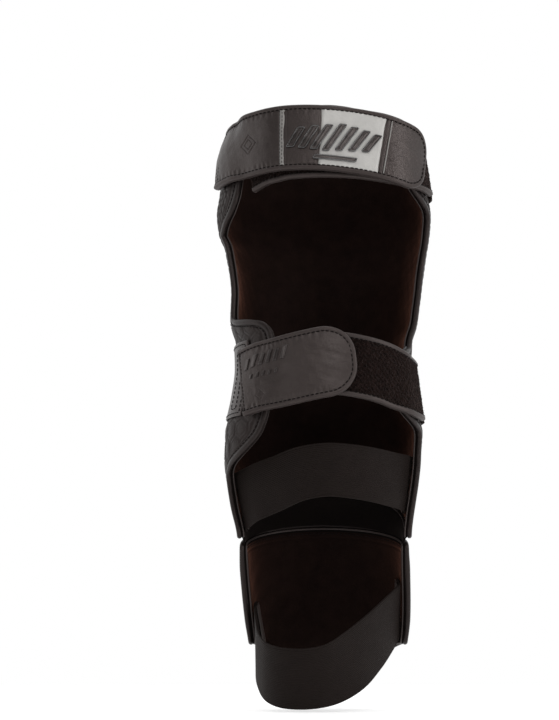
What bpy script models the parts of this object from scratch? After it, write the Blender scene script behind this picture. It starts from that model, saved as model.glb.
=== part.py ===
"""A shin and instep guard for kickboxing, as it sits on a right leg.

Frame: +Z runs up the shin, +Y points forwards to the striking face, +X to the wearer's right.
The origin is on the leg's axis, level with the underside of the foot strap.
Lengths below are in millimetres and are turned into metres when a mesh is made.
"""

import math

import bmesh
import bpy
import numpy as np

MM = 0.001
GAP = 0.4  # clearance between neighbouring layers

# ---- Driving dimensions of the shin pad ------------------------------------------------------
# Outer half-width at the side, and sideways shift of the section, against height.
HALF_WIDTH = [(140, 74.5), (150, 75.5), (174, 79.7), (196, 83.3), (212, 85), (236, 85.5), (252, 82), (268, 78.8),
              (292, 76), (314, 77), (332, 82), (363, 84), (398, 89.3), (412, 93), (430, 94.5), (449, 91.8),
              (476, 88.5), (494, 84), (518, 74.5), (548, 62)]
SIDE_SHIFT = [(140, 0.4), (174, -1), (212, -1), (236, 0), (292, 0.5), (332, 0.8), (363, 2.9), (398, 3),
              (412, 1.2), (449, 0.5), (476, 0), (494, 1), (518, 2.5), (548, 3)]
SECTION_CENTRE_Y = -4.0
FRONT_DEPTH = 54.0  # from the section's centre to the liner at the shin
BACK_DEPTH = 56.0  # the same for the calf side, which only the ears reach
BODY_THICK, SIDE_THICK, EDGE_THICK = 24.0, 6.5, 5.0
SKIN = 1.5  # cover and liner

# Angle round from the shin at which the pad ends, against height: two ears hold the straps.
LEFT_RIM = [(144, 94), (190, 95), (199, 97), (207, 106), (214, 118), (222, 129), (233, 138), (245, 141),
            (300, 142), (314, 141), (322, 137), (326, 124), (329, 106), (333, 97), (345, 96), (395, 96),
            (409, 97), (413, 103), (418, 109), (428, 119), (440, 123), (488, 124), (497, 121), (508, 112),
            (520, 100), (548, 90)]
RIGHT_RIM = [(144, 94), (200, 95), (232, 96), (238, 99), (243, 108), (250, 118), (258, 124), (288, 124),
             (297, 119), (302, 108), (306, 98), (312, 96), (400, 96), (424, 96), (431, 101), (437, 110),
             (446, 119), (456, 123), (488, 123), (497, 119), (508, 109), (518, 98), (548, 90)]
PAD_BOTTOM, BOTTOM_ARCH = 148.0, 42.0
PAD_TOP_SIDE, PAD_TOP = 500.0, 545.0
STEADY_LOW, STEADY_HIGH = 200.0, 492.0  # between these heights rows are level
ROWS = [144, 158, 178, 200, 213, 222, 235, 250, 275, 298, 312, 325, 332, 355, 385, 408, 418, 430, 445, 470,
        492, 505, 514, 528, 545]
COLUMNS = [5, 15, 27, 40, 54, 68, 81]  # degrees from the shin, the same on both sides
THIN = 0.8  # a soft layer on its own outline
COMFORT = (54, 213, 492)  # the soft inner foam: degrees from the shin, lowest and highest
COMFORT_THICK = 4.5
RIDGE = (27, 235, 492)  # the raised bar down the shin, the same way
RIDGE_THICK = 6.5
RIDGE_HEM = 6  # degrees by which the bar's cover ends short of the next column

# ---- Driving dimensions of the instep pad ----------------------------------------------------
ANKLE = np.array([0.0, 0.0, 148.0])  # centre of the ankle joint
FOOT_TILT = math.radians(30)  # the pad's length leans this far forward of straight down
INSTEP_HALF_WIDTH = [(0, 66.5), (50, 66), (100, 63.5), (150, 50)]
INSTEP_RISE = [(0, 46), (70, 40), (150, 27)]
INSTEP_SHIFT = [(0, 0), (100, 3), (150, 3)]
INSTEP_BASE = -6.0
INSTEP_BODY, INSTEP_SIDE, INSTEP_EDGE = 16.0, 6.0, 5.0
INSTEP_TOP, INSTEP_TOP_ARCH = 8.0, 7.0
INSTEP_END_SIDE, INSTEP_END = 100.0, 150.0
INSTEP_COLUMNS = [6, 18, 32, 48, 64, 78, 90]
INSTEP_ROWS = np.linspace(0, 1, 12)
INSTEP_BAR_THICK = 5.0
GUSSET_REACH = 64  # degrees from the shin
GUSSET_DEPTHS = (1.6, 3.6)

# ---- Straps and elastics ---------------------------------------------------------------------
# Where each leaves the pads: angles round the pad, height (or way down the foot) and half-width.
UPPER_STRAP_SEAT = [(-97, 476), (-104, 476.5), (-112, 477), (-120, 477.6)]
UPPER_LOOP_SEAT = [(97, 468), (104, 468.6), (112, 469.4), (120, 470.2)]
MID_FLAP_SEAT = [(-123.5, 272.8), (-129, 274.4), (-134.5, 276), (-140, 277.4)]
MID_LOOP_SEAT = [(97, 270), (104, 270.7), (112, 271.8), (120, 273.6)]
ANKLE_ELASTIC_SEAT = [(-80, 176), (-88, 176.4), (-95, 177)], [(95, 191.4), (88, 190.8), (80, 190)]
FOOT_ELASTIC_SEAT = [(-74, 92), (-84, 92), (-92, 92)], [(92, 70), (84, 70), (74, 70)]
# Their inner faces' lines where they run free, from root to tip.
UPPER_STRAP = [(-64, -49, 478.4), (-54.5, -58.5, 478.6), (-43, -67, 478.8), (-29, -73, 478.8),
               (-10, -76, 478.2), (10, -76, 476.8), (32, -74, 474.2), (51, -69.5, 471), (66.5, -62, 467.6),
               (78.5, -51.5, 464.4), (85, -43, 462.4)]
UPPER_LOOP = [(67, -48.5, 471.6), (58, -56, 472.6), (46, -62.5, 473.6), (30, -67, 474.6), (10, -69, 475.4),
              (-10, -69, 475.4), (-27, -66, 475), (-38, -60.5, 474), (-46, -54.5, 473.4)]
MID_FLAP = [(-36, -62.5, 279.6), (-22, -67, 282.4), (-4, -69.8, 286), (12, -69.8, 288.6), (27, -67, 290.4)]
MID_LOOP = [(59, -44.5, 277), (49, -51, 280.6), (34, -57.5, 284), (12, -62.3, 287), (-10, -62, 287.5),
            (-26, -57.5, 286), (-33, -54, 285)]
ANKLE_ELASTIC = [(-59, -23.5, 182.5), (-40, -36.5, 189), (-20, -48, 196), (2, -52.5, 199), (22, -49.5, 198),
                 (40, -41.5, 196), (59, -26, 193)]
FOOT_ELASTIC = [(-58.6, 20, 53), (-55.5, -1, 41), (-48, -19, 32), (-34, -31, 27.6), (-14, -35, 27),
                (6, -32, 31), (24, -21, 41.5), (41, -3, 57), (54, 14, 71.5)]
# The way across the foot elastic, towards the heel, at shares of its free run.
FOOT_ACROSS = [(0, (0, -0.5, 0.866)), (0.4, (0, -0.38, 0.925)), (0.75, (-0.26, -0.38, 0.89)),
               (1, (-0.08, -0.48, 0.87))]
UPPER_HALF, UPPER_CORNER = 28.5, 20.0
MID_HALF, MID_CORNER = 30.0, 26.0
UPPER_LOOP_HALF = [(0, 26.5), (0.35, 30.5), (1, 30.5)]
MID_LOOP_HALF = [(0, 26.5), (1, 27)]
ANKLE_ELASTIC_HALF = [(0, 25), (0.5, 22.5), (1, 24)]
FOOT_ELASTIC_HALF = [(0, 27), (1, 27)]
LINING, FACE, PANEL, HOOK, BACKING, PILE, WEBBING = 3.0, 1.4, 1.1, 1.2, 2.2, 1.4, 2.0
TAB_THICK = 1.2
BINDING_WIDE, BINDING_PROUD, BINDING_BEVEL = 3.0, 0.6, 0.8
FOLD_X = -35.5  # where the upper strap folds back
STEP = 7.0  # spacing of the rows along a strap, the same for all of its layers
SEAT_RISE, FLAP_RISE = 1.6, 3.2  # how far a strap's inner face stands off the cover it is sewn to
ELASTIC_SEAT_DEPTHS = (-2.0, -2.4, -2.9)  # from the sewn end to the rim, where it clears the edge tape
# What is sewn on the wings: from and to in degrees, then lowest and highest.
UPPER_ANCHOR, MID_ANCHOR = (68, 93, 442, 494), (68, 93, 244, 296)
ROOT_PANEL = (-122, -60, 247, 312)
SEWN_CLEAR, ANCHOR_THICK, ROOT_PANEL_THICK = 2.2 * GAP, 3.0, 1.2
# The patch on the upper strap: each panel's ends, measured along the strap from the fold.
SIDE_STRIP, DARK_PANEL, LIGHT_PANEL, END_STRIP = (1.5, 5.2), (5.8, 33.6), (34.2, 86), (86.6, 90.4)
# The badge on it, a plain bar with cut corners: its ends along the strap, lowest, highest, and the cut.
EMBLEM, EMBLEM_CUT, EMBLEM_ROWS = (8, 84, -14, 12), 7, 11
EMBLEM_PROUD = 1.6
BADGE, BADGE_PROUD = (6, 48, 8, 20), 0.8  # on the middle flap: ends along it, lowest and highest
UPPER_HOOK, MID_HOOK, HOOK_END = 78, 52, 9  # where hook panels start and end, measured back from the tip
HOOK_INSET, HOOK_CORNER = 5, 8
LOOP_SEAT_HALF, LOOP_CORNER = 26, 12.0
FOLD_CLEAR = 0.5  # half of the gap in the strap at its fold
# A point on each joint's axis, and how the names of what it moves start.
JOINTS = [
    ("ankle", ANKLE, ("instep_", "foot_elastic")),
    ("upper_strap", (-88.4, -12.1, 476), "upper_root_"),
    ("upper_fold", (-38, -76.3, 478.8), ("upper_tip_", "upper_hook_", "patch_")),
    ("mid_flap", (-66.5, -39.5, 272.7), ("mid_flap_", "mid_hook_")),
    ("upper_loop", (89.6, -12.1, 468), "upper_loop_"),
    ("mid_loop", (78.8, -11.9, 270), "mid_loop_"),
]


# ---- Curves ----------------------------------------------------------------------------------
def along(knots, x):
    """The smooth curve through (x, value) knots, read at x. It doesn't overshoot the knots."""
    at = np.array([k[0] for k in knots], float)
    value = np.array([k[1] for k in knots], float)
    x = np.clip(np.asarray(x, float), at[0], at[-1])
    step = np.diff(value) / np.diff(at)
    slope = np.zeros(len(at))
    same_way = step[:-1] * step[1:] > 0
    slope[1:-1][same_way] = 2 * step[:-1][same_way] * step[1:][same_way] / (step[:-1] + step[1:])[same_way]
    i = np.clip(np.searchsorted(at, x, side="right") - 1, 0, len(at) - 2)
    width = at[i + 1] - at[i]
    t = (x - at[i]) / width
    rise = value[i + 1] - value[i]
    return (value[i] + rise * t * t * (3 - 2 * t)
            + width * t * (1 - t) * ((1 - t) * slope[i] - t * slope[i + 1]))


def smooth_path(points, samples=500):
    """A Catmull-Rom curve through rows that start with x, y, z: evenly spaced samples, and its length."""
    p = np.array(points, float)
    p = np.vstack([2 * p[0] - p[1], p, 2 * p[-1] - p[-2]])
    out = []
    for a, b, c, d in zip(p[:-3], p[1:-2], p[2:-1], p[3:]):
        t = np.linspace(0, 1, 24, endpoint=False)[:, None]
        out.append(0.5 * (2 * b + (c - a) * t + (2 * a - 5 * b + 4 * c - d) * t**2
                          + (3 * b - a - 3 * c + d) * t**3))
    line = np.vstack([*out, p[-2:-1]])
    run = np.concatenate([[0], np.cumsum(np.linalg.norm(np.diff(line[:, :3], axis=0), axis=1))])
    even = np.linspace(0, run[-1], samples)
    return np.stack([np.interp(even, run, column) for column in line.T], axis=1), run[-1]


def unit(v):
    return v / np.linalg.norm(v, axis=-1, keepdims=True)


def ramp(x):
    x = np.clip(x, 0, 1)
    return x * x * (3 - 2 * x)


# ---- The shin pad's surface ------------------------------------------------------------------
def pad_bottom(degrees):
    return PAD_BOTTOM + BOTTOM_ARCH * np.clip(np.cos(np.radians(degrees)), 0, 1) ** 0.7


def pad_top(degrees):
    return PAD_TOP_SIDE + (PAD_TOP - PAD_TOP_SIDE) * np.clip(np.cos(np.radians(degrees)), 0, 1) ** 1.2


def row_height(row, degrees):
    """The height of a row at an angle round the shin: level in the middle, bent at the ends."""
    if row < STEADY_LOW:
        share = (row - ROWS[0]) / (STEADY_LOW - ROWS[0])
        return pad_bottom(degrees) + share * (STEADY_LOW - pad_bottom(degrees))
    if row > STEADY_HIGH:
        share = (row - STEADY_HIGH) / (ROWS[-1] - STEADY_HIGH)
        return STEADY_HIGH + share * (pad_top(degrees) - STEADY_HIGH)
    return float(row)


def pad_thickness(degrees, height):
    """Thick over the shin, thin at the wings, and thin again at the top and bottom edges."""
    round_it = ramp((78 - abs(degrees)) / 58)
    side = SIDE_THICK + (EDGE_THICK - SIDE_THICK) * ramp((abs(degrees) - 82) / 20)
    body = side + (BODY_THICK - SIDE_THICK) * round_it
    from_edge = min(height - pad_bottom(degrees), pad_top(degrees) - height)
    return EDGE_THICK + (body - EDGE_THICK) * ramp(0.12 + from_edge / 32)


def pad_point(degrees, height, depth):
    """The point at an angle and height, depth millimetres out of the liner's inner face, and the normal."""
    a = along(HALF_WIDTH, height) - SIDE_THICK
    s, c = math.sin(math.radians(degrees)), math.cos(math.radians(degrees))
    b = FRONT_DEPTH if c > 0 else BACK_DEPTH
    n = unit(np.array([s / a, c / b, 0.0]))
    p = np.array([along(SIDE_SHIFT, height) + a * s, SECTION_CENTRE_Y + b * c, height])
    return p + depth * n, n


def pad_columns(row):
    """The angles of one row's points, from the left rim to the right rim."""
    last = COLUMNS[-1]
    left, right = along(LEFT_RIM, row), along(RIGHT_RIM, row)
    shares = np.array([1, 2 / 3, 1 / 3])
    return np.array([*(-last - (left - last) * shares), *(-np.array(COLUMNS[::-1])), *COLUMNS,
                     *(last + (right - last) * shares[::-1])])


def pad_grid(depth, columns=slice(None), rows=slice(None), shift=None):
    """A grid of points on the pad. depth is a function of angle and height, and shift moves end columns."""
    grid = []
    for row in ROWS[rows]:
        angles = pad_columns(row)[columns].copy()
        if shift:
            angles[0] += shift[0]
            angles[-1] += shift[1]
        heights = [row_height(row, a) for a in angles]
        grid.append([pad_point(a, h, depth(a, h))[0] for a, h in zip(angles, heights)])
    return np.array(grid)


# ---- The instep pad's surface ----------------------------------------------------------------
DOWN_FOOT = np.array([0.0, math.sin(FOOT_TILT), -math.cos(FOOT_TILT)])
OFF_FOOT = np.array([0.0, math.cos(FOOT_TILT), math.sin(FOOT_TILT)])


def instep_top(degrees):
    return INSTEP_TOP + INSTEP_TOP_ARCH * math.cos(math.radians(degrees))


def instep_end(degrees):
    c = np.clip(math.cos(math.radians(degrees)), 0, 1)
    return INSTEP_END_SIDE + (INSTEP_END - INSTEP_END_SIDE) * c**1.8


def instep_thickness(degrees, way):
    round_it = ramp((80 - abs(degrees)) / 60)
    body = INSTEP_SIDE + (INSTEP_BODY - INSTEP_SIDE) * round_it
    from_edge = min(way - instep_top(degrees), instep_end(degrees) - way)
    return INSTEP_EDGE + (body - INSTEP_EDGE) * ramp(0.12 + from_edge / 26)


def instep_point(degrees, way, depth):
    """The point at an angle and a way down the foot, depth out of the liner's inner face, and the normal."""
    a, b = along(INSTEP_HALF_WIDTH, way), along(INSTEP_RISE, way)
    s, c = math.sin(math.radians(degrees)), math.cos(math.radians(degrees))
    across, out = unit(np.array([s / a, c / b]))
    n = np.array([across, 0, 0]) + out * OFF_FOOT
    p = ANKLE + way * DOWN_FOOT + (INSTEP_BASE + b * c) * OFF_FOOT
    return p + np.array([along(INSTEP_SHIFT, way) + a * s, 0, 0]) + depth * n, n


def instep_grid(depth, columns=slice(None), rows=slice(None)):
    angles = np.array([*(-np.array(INSTEP_COLUMNS[::-1])), *INSTEP_COLUMNS])[columns]
    grid = []
    for share in INSTEP_ROWS[rows]:
        ways = [instep_top(a) + share * (instep_end(a) - instep_top(a)) for a in angles]
        grid.append([instep_point(a, w, depth(a, w))[0] for a, w in zip(angles, ways)])
    return np.array(grid)


# ---- Straps ----------------------------------------------------------------------------------
def seat(surface, angle, middle, half, depth, bows=False):
    """A station of a strap where it lies on a pad: its centre, the way across it, and its bulge."""
    low, mid, high = (surface(angle, middle + k * half, depth(angle, middle + k * half)) for k in (-1, 0, 1))
    centre = (low[0] + high[0]) / 2
    bow = max(0.0, float((mid[0] - centre) @ mid[1])) if bows else 0.0
    return [*centre, *unit(high[0] - low[0]), bow]


def free(points, ups=None):
    """Stations of a strap where nothing carries it."""
    ups = [(0.0, 0.0, 1.0)] * len(points) if ups is None else ups
    return [[*p, *up, 0.0] for p, up in zip(points, ups)]


class Strap:
    """A band along a path. Its face is read at (way along, way across, depth out)."""

    def __init__(self, stations, count=3):
        path, self.length = smooth_path(stations)
        self.line, self.bow, self.count = path[:, :3], path[:, 6], count
        tangent = unit(np.gradient(self.line, axis=0))
        self.up = unit(path[:, 3:6] - tangent * (path[:, 3:6] * tangent).sum(1, keepdims=True))
        self.out = unit(np.cross(tangent, self.up))
        middle = len(self.line) // 2
        if self.out[middle] @ np.array([0, -1, 0]) < 0:
            self.out = -self.out
        self.hand = np.sign(np.cross(self.out[middle], tangent[middle]) @ self.up[middle])

    def at(self, way, across, depth):
        k = np.clip(way / self.length, 0, 1) * (len(self.line) - 1)
        i, t = min(int(k), len(self.line) - 2), k - min(int(k), len(self.line) - 2)
        point, up, out = (v[i] * (1 - t) + v[i + 1] * t for v in (self.line, self.up, self.out))
        rise = (self.bow[i] * (1 - t) + self.bow[i + 1] * t) * (1 - (across / UPPER_HALF) ** 2)
        return point + across * up + (depth + rise) * unit(out), unit(out)

    def way_at_x(self, x):
        """How far along the path it first reaches x."""
        past = (self.line[:, 0] - x) * np.sign(self.line[-1, 0] - self.line[0, 0]) > 0
        return self.length * np.argmax(past) / (len(self.line) - 1)

    def sheet(self, start, end, half, depth, corner=0.0, low=None):
        """A grid from start to end, half-width half each way, with its end's corners rounded."""
        stop = end - corner
        marks = np.arange(math.ceil((start + 2) / STEP) * STEP, stop - 2, STEP)
        ways = [start, *marks, stop]
        if corner:
            turn = np.linspace(0, math.pi / 2, 7)[1:]
            ways += list(stop + corner * np.sin(turn) * 0.995)
        grid = []
        for way in ways:
            h = half(way / self.length) if callable(half) else half
            into = max(0.0, way - stop)
            h -= corner - math.sqrt(max(corner**2 - into**2, 0.0)) if corner else 0.0
            floor = -h if low is None else low
            grid.append([self.at(way, x, depth)[0] for x in np.linspace(floor, h, self.count)])
        return np.array(grid)


# ---- Making Blender objects ------------------------------------------------------------------
def material(name, colour, roughness, metallic=0.0):
    made = bpy.data.materials.new(name)
    made.use_nodes = True
    shader = made.node_tree.nodes["Principled BSDF"]
    shader.inputs["Base Color"].default_value = (*colour, 1)
    shader.inputs["Roughness"].default_value = roughness
    shader.inputs["Metallic"].default_value = metallic
    return made


def add_mesh(name, points, faces, skin):
    """One object from points in millimetres, shaded smooth, with its faces turned outwards."""
    mesh = bpy.data.meshes.new(name)
    mesh.from_pydata([tuple(p * MM) for p in points], [], faces)
    shape = bmesh.new()
    shape.from_mesh(mesh)
    bmesh.ops.recalc_face_normals(shape, faces=shape.faces)
    shape.to_mesh(mesh)
    shape.free()
    mesh.shade_smooth()
    mesh.set_sharp_from_angle(angle=math.radians(40))
    obj = bpy.data.objects.new(name, mesh)
    obj.data.materials.append(skin)
    bpy.context.scene.collection.objects.link(obj)
    return obj


def slab(name, inner, outer, skin):
    """A closed solid between two grids of the same size."""
    rows, columns = inner.shape[:2]
    count = rows * columns
    faces = []
    for r in range(rows - 1):
        for c in range(columns - 1):
            a, b = r * columns + c, r * columns + c + 1
            d, e = a + columns, b + columns
            for one, two, three in ((a, b, e), (a, e, d)):
                faces += [(one, two, three), (three + count, two + count, one + count)]
    rim = ([c for c in range(columns)] + [r * columns + columns - 1 for r in range(1, rows)]
           + [(rows - 1) * columns + c for c in range(columns - 2, -1, -1)]
           + [r * columns for r in range(rows - 2, 0, -1)])
    for a, b in zip(rim, rim[1:] + rim[:1]):
        faces += [(b, a, a + count), (b, a + count, b + count)]
    points = np.vstack([inner.reshape(-1, 3), outer.reshape(-1, 3)])
    return add_mesh(name, points, faces, skin)


def sweep(name, points, normals, low, high, wide, skin, closed=True, start=GAP, hand=1):
    """A strip beside an edge, with the pad's normal along it. hand is -1 when the outside is on the left."""
    p, n = np.array(points), unit(np.array(normals))
    if closed:
        tangent = unit(np.roll(p, -1, 0) - np.roll(p, 1, 0))
    else:
        tangent = unit(np.gradient(p, axis=0))
    out = hand * unit(np.cross(n, tangent))
    low, high = np.broadcast_to(low, len(p))[:, None], np.broadcast_to(high, len(p))[:, None]
    far = start + wide
    ring = np.stack([p + out * start + n * low, p + out * far + n * (low + BINDING_BEVEL),
                     p + out * far + n * (high - BINDING_BEVEL), p + out * start + n * high], axis=1)
    faces = []
    for i in range(len(p) if closed else len(p) - 1):
        j = (i + 1) % len(p)
        faces += [(4 * i + k, 4 * i + (k + 1) % 4, 4 * j + (k + 1) % 4, 4 * j + k) for k in range(4)]
    if not closed:
        faces += [(3, 2, 1, 0), tuple(4 * (len(p) - 1) + k for k in range(4))]
    return add_mesh(name, ring.reshape(-1, 3), faces, skin)


def strap_layer(name, strap, start, end, half, low, high, skin, corner=0.0, base=None):
    """One flat layer of a strap, from depth low to depth high."""
    grids = [strap.sheet(start, end, half, depth, corner, base) for depth in (low, high)]
    return slab(name, grids[0], grids[1], skin)


def edge_path(grid):
    """The outline of a strap's sheet: along its top edge, round the tip and back along the other."""
    return [*grid[:, -1], *grid[-1, -2:0:-1], *grid[::-1, 0]]


def strap_binding(name, strap, start, end, half, low, high, skin, corner):
    """The folded edge tape round a strap's two long edges and its rounded tip."""
    points = np.array(edge_path(strap.sheet(start, end, half, 0.0, corner)))
    tops = np.array(edge_path(strap.sheet(start, end, half, 1.0, corner)))
    return sweep(name, points, tops - points, low, high, BINDING_WIDE, skin, closed=False, hand=strap.hand)


def edge_strip(name, strap, start, end, half, low, high, skin, side):
    """Edge tape along one straight edge of a strap: side is 1 for the top and -1 for the bottom."""
    column = -1 if side > 0 else 0
    points, tops = (strap.sheet(start, end, half, depth)[:, column] for depth in (0.0, 1.0))
    return sweep(name, points, tops - points, low, high, BINDING_WIDE, skin, closed=False,
                 hand=side * strap.hand)


# ---- The shin pad ----------------------------------------------------------------------------
def soft_layer(degrees, height, outline, full):
    """A soft layer's thickness: full within its outline, thin on the outline and none beyond it."""
    reach, low, high = outline
    past = max(abs(degrees) - reach, low - height, height - high)
    return 0.0 if past > THIN else THIN if past > -THIN else full


def core_inner(degrees, height):
    soft = soft_layer(degrees, height, COMFORT, COMFORT_THICK)
    return SKIN + GAP + (soft + GAP if soft else 0.0)


def bar_under(degrees, height):
    """Where the bar's cover starts: on the bar's foam, or on the pad round it."""
    soft = soft_layer(degrees, height, RIDGE, RIDGE_THICK)
    return pad_thickness(degrees, height) + GAP + (soft + GAP if soft else 0.0)


def make_shin_pad(skins):
    every = slice(None)
    thick = pad_thickness
    columns = len(pad_columns(ROWS[0]))
    middle = columns // 2
    front = slice(middle - 5, middle + 5)
    soft_rows = slice(ROWS.index(COMFORT[1]), ROWS.index(COMFORT[2]) + 1)
    slab("shin_liner", pad_grid(lambda a, h: 0), pad_grid(lambda a, h: SKIN), skins["lining"])
    slab("shin_comfort_foam", pad_grid(lambda a, h: SKIN + GAP, front, soft_rows),
         pad_grid(lambda a, h: SKIN + GAP + soft_layer(a, h, COMFORT, COMFORT_THICK), front, soft_rows),
         skins["foam"])
    slab("shin_impact_foam", pad_grid(core_inner),
         pad_grid(lambda a, h: thick(a, h) - SKIN - GAP), skins["foam"])
    seam = 1.5 * GAP  # degrees between two covers
    panels = [("shin_front_cover", front, None, "leather"),
              ("left_wing_cover", slice(0, middle - 4), (0, -seam), "textured"),
              ("right_wing_cover", slice(middle + 4, columns), (seam, 0), "textured")]
    for name, part, shift, skin in panels:
        slab(name, pad_grid(lambda a, h: thick(a, h) - SKIN, part, every, shift),
             pad_grid(thick, part, every, shift), skins[skin])
    bar, bar_rows = slice(middle - 3, middle + 3), slice(ROWS.index(RIDGE[1]), ROWS.index(RIDGE[2]) + 1)
    slab("ridge_foam", pad_grid(lambda a, h: thick(a, h) + GAP, bar, bar_rows),
         pad_grid(lambda a, h: thick(a, h) + GAP + soft_layer(a, h, RIDGE, RIDGE_THICK), bar, bar_rows),
         skins["foam"])
    wider, taller = slice(bar.start - 1, bar.stop + 1), slice(bar_rows.start - 1, bar_rows.stop + 1)
    hem = (RIDGE_HEM, -RIDGE_HEM)
    slab("ridge_cover", pad_grid(bar_under, wider, taller, hem),
         pad_grid(lambda a, h: bar_under(a, h) + SKIN, wider, taller, hem), skins["leather"])
    make_shin_binding(skins)


def make_shin_binding(skins):
    """The edge tape round the whole pad, ears and all."""
    columns = [pad_columns(r) for r in ROWS]
    places = ([(a, ROWS[0]) for a in columns[0]] + [(c[-1], r) for c, r in zip(columns[1:], ROWS[1:])]
              + [(a, ROWS[-1]) for a in columns[-1][-2::-1]]
              + [(c[0], r) for c, r in list(zip(columns, ROWS))[-2:0:-1]])
    points, normals, half = [], [], []
    for angle, row in places:
        height = row_height(row, angle)
        thick = pad_thickness(angle, height)
        p, n = pad_point(angle, height, thick / 2)
        points.append(p)
        normals.append(n)
        half.append(thick / 2 + BINDING_PROUD)
    half = np.array(half)
    sweep("shin_edge_binding", points, normals, -half, half, BINDING_WIDE, skins["tape"], start=1.6 * GAP)


def on_pad(name, outline, across, up, thick, skin):
    """A patch sewn to the pad's outside, as a grid of across by up points."""
    start, stop, bottom, top = outline
    angles, heights = np.linspace(start, stop, across), np.linspace(bottom, top, up)

    def grid(rise):
        return np.array([[pad_point(a, h, pad_thickness(a, h) + rise)[0] for a in angles] for h in heights])

    slab(name, grid(SEWN_CLEAR), grid(SEWN_CLEAR + thick), skin)


def make_anchors(skins):
    """What is sewn to the wings: the loop straps' ends, and the panel the middle flap is stitched to."""
    on_pad("upper_loop_anchor", UPPER_ANCHOR, 7, 6, ANCHOR_THICK, skins["loop"])
    on_pad("mid_loop_anchor", MID_ANCHOR, 7, 6, ANCHOR_THICK, skins["loop"])
    on_pad("mid_root_panel", ROOT_PANEL, 13, 7, ROOT_PANEL_THICK, skins["leather"])


# ---- The instep pad --------------------------------------------------------------------------
def make_instep(skins):
    thick = instep_thickness
    slab("instep_liner", instep_grid(lambda a, w: 0), instep_grid(lambda a, w: SKIN), skins["lining"])
    slab("instep_foam", instep_grid(lambda a, w: SKIN + GAP),
         instep_grid(lambda a, w: thick(a, w) - SKIN - GAP), skins["foam"])
    slab("instep_cover", instep_grid(lambda a, w: thick(a, w) - SKIN), instep_grid(thick), skins["leather"])
    bar, rows = slice(4, 10), slice(2, 9)
    on_outline = 0.02
    last_column = INSTEP_COLUMNS[bar.stop - len(INSTEP_COLUMNS) - 1] - on_outline
    first_row, last_row = INSTEP_ROWS[rows.start] + on_outline, INSTEP_ROWS[rows.stop - 1] - on_outline

    def rise(a, w):
        share = (w - instep_top(a)) / (instep_end(a) - instep_top(a))
        return INSTEP_BAR_THICK if abs(a) < last_column and first_row < share < last_row else THIN

    slab("instep_ridge_pad", instep_grid(lambda a, w: thick(a, w) + GAP, bar, rows),
         instep_grid(lambda a, w: thick(a, w) + GAP + rise(a, w), bar, rows), skins["leather"])
    angles = [-a for a in INSTEP_COLUMNS[::-1]] + INSTEP_COLUMNS
    places = ([(a, 0.0) for a in angles] + [(angles[-1], s) for s in INSTEP_ROWS[1:]]
              + [(a, 1.0) for a in angles[-2::-1]] + [(angles[0], s) for s in INSTEP_ROWS[-2:0:-1]])
    points, normals, half = [], [], []
    for a, share in places:
        way = instep_top(a) + share * (instep_end(a) - instep_top(a))
        t = thick(a, way)
        p, n = instep_point(a, way, t / 2)
        points.append(p)
        normals.append(n)
        half.append(t / 2 + BINDING_PROUD)
    half = np.array(half)
    sweep("instep_edge_binding", points, normals, -half, half, BINDING_WIDE, skins["tape"], start=1.8 * GAP,
          hand=-1)


def make_gusset(skins):
    """The stretch panel across the front of the ankle, between the two pads' edge tapes."""
    clear = BINDING_WIDE + 5 * GAP
    angles = np.linspace(-GUSSET_REACH, GUSSET_REACH, 13)
    grids = []
    for depth in GUSSET_DEPTHS:
        upper = [pad_point(a, pad_bottom(a) - clear, depth)[0] for a in angles]
        lower = [instep_point(a, instep_top(a) - clear, depth)[0] for a in angles]
        grids.append(np.array([[u * (1 - t) + v * t for u, v in zip(upper, lower)] for t in (0, 0.33, 0.67, 1)]))
    slab("ankle_gusset", grids[0], grids[1], skins["stretch"])


# ---- Straps ----------------------------------------------------------------------------------
def on_cover(rise):
    return lambda angle, height: pad_thickness(angle, height) + rise


def upper_strap():
    stations = [seat(pad_point, a, h, UPPER_HALF - 1, on_cover(SEAT_RISE), True) for a, h in UPPER_STRAP_SEAT]
    return Strap(stations + free(UPPER_STRAP), 5)


def make_upper_strap(skins):
    strap = upper_strap()
    inset = BINDING_WIDE + GAP
    half, end, corner = UPPER_HALF - inset, strap.length - inset, UPPER_CORNER - inset
    fold = strap.way_at_x(FOLD_X)
    face = LINING + GAP
    low, high = -BINDING_PROUD, face + FACE + BINDING_PROUD
    strap_layer("upper_root_lining", strap, 1, fold - FOLD_CLEAR, half, 0, LINING, skins["neoprene"])
    strap_layer("upper_root_face", strap, 1, fold - FOLD_CLEAR, half, face, face + FACE, skins["leather"])
    for name, side in (("upper_root_top_binding", 1), ("upper_root_bottom_binding", -1)):
        edge_strip(name, strap, 1, fold - FOLD_CLEAR, half, low, high, skins["tape"], side)
    strap_layer("upper_tip_lining", strap, fold + FOLD_CLEAR, end, half, 0, LINING, skins["neoprene"], corner)
    strap_layer("upper_tip_face", strap, fold + FOLD_CLEAR, end, half, face, face + FACE, skins["leather"], corner)
    strap_binding("upper_tip_binding", strap, fold + FOLD_CLEAR, end, half, low, high, skins["tape"], corner)
    strap_layer("upper_hook_panel", strap, end - UPPER_HOOK, end - HOOK_END, half - HOOK_INSET, -GAP - HOOK, -GAP,
                skins["hook"], HOOK_CORNER)
    on_top = face + FACE + GAP
    panels = [("patch_side_strip", SIDE_STRIP, "grey"), ("patch_dark_panel", DARK_PANEL, "leather"),
              ("patch_light_panel", LIGHT_PANEL, "silver"), ("patch_end_strip", END_STRIP, "leather")]
    for name, (first, last), skin in panels:
        strap_layer(name, strap, fold + first, fold + last, half - 1, on_top, on_top + PANEL, skins[skin])
    make_emblem(strap, fold, on_top + PANEL + GAP, skins)


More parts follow.
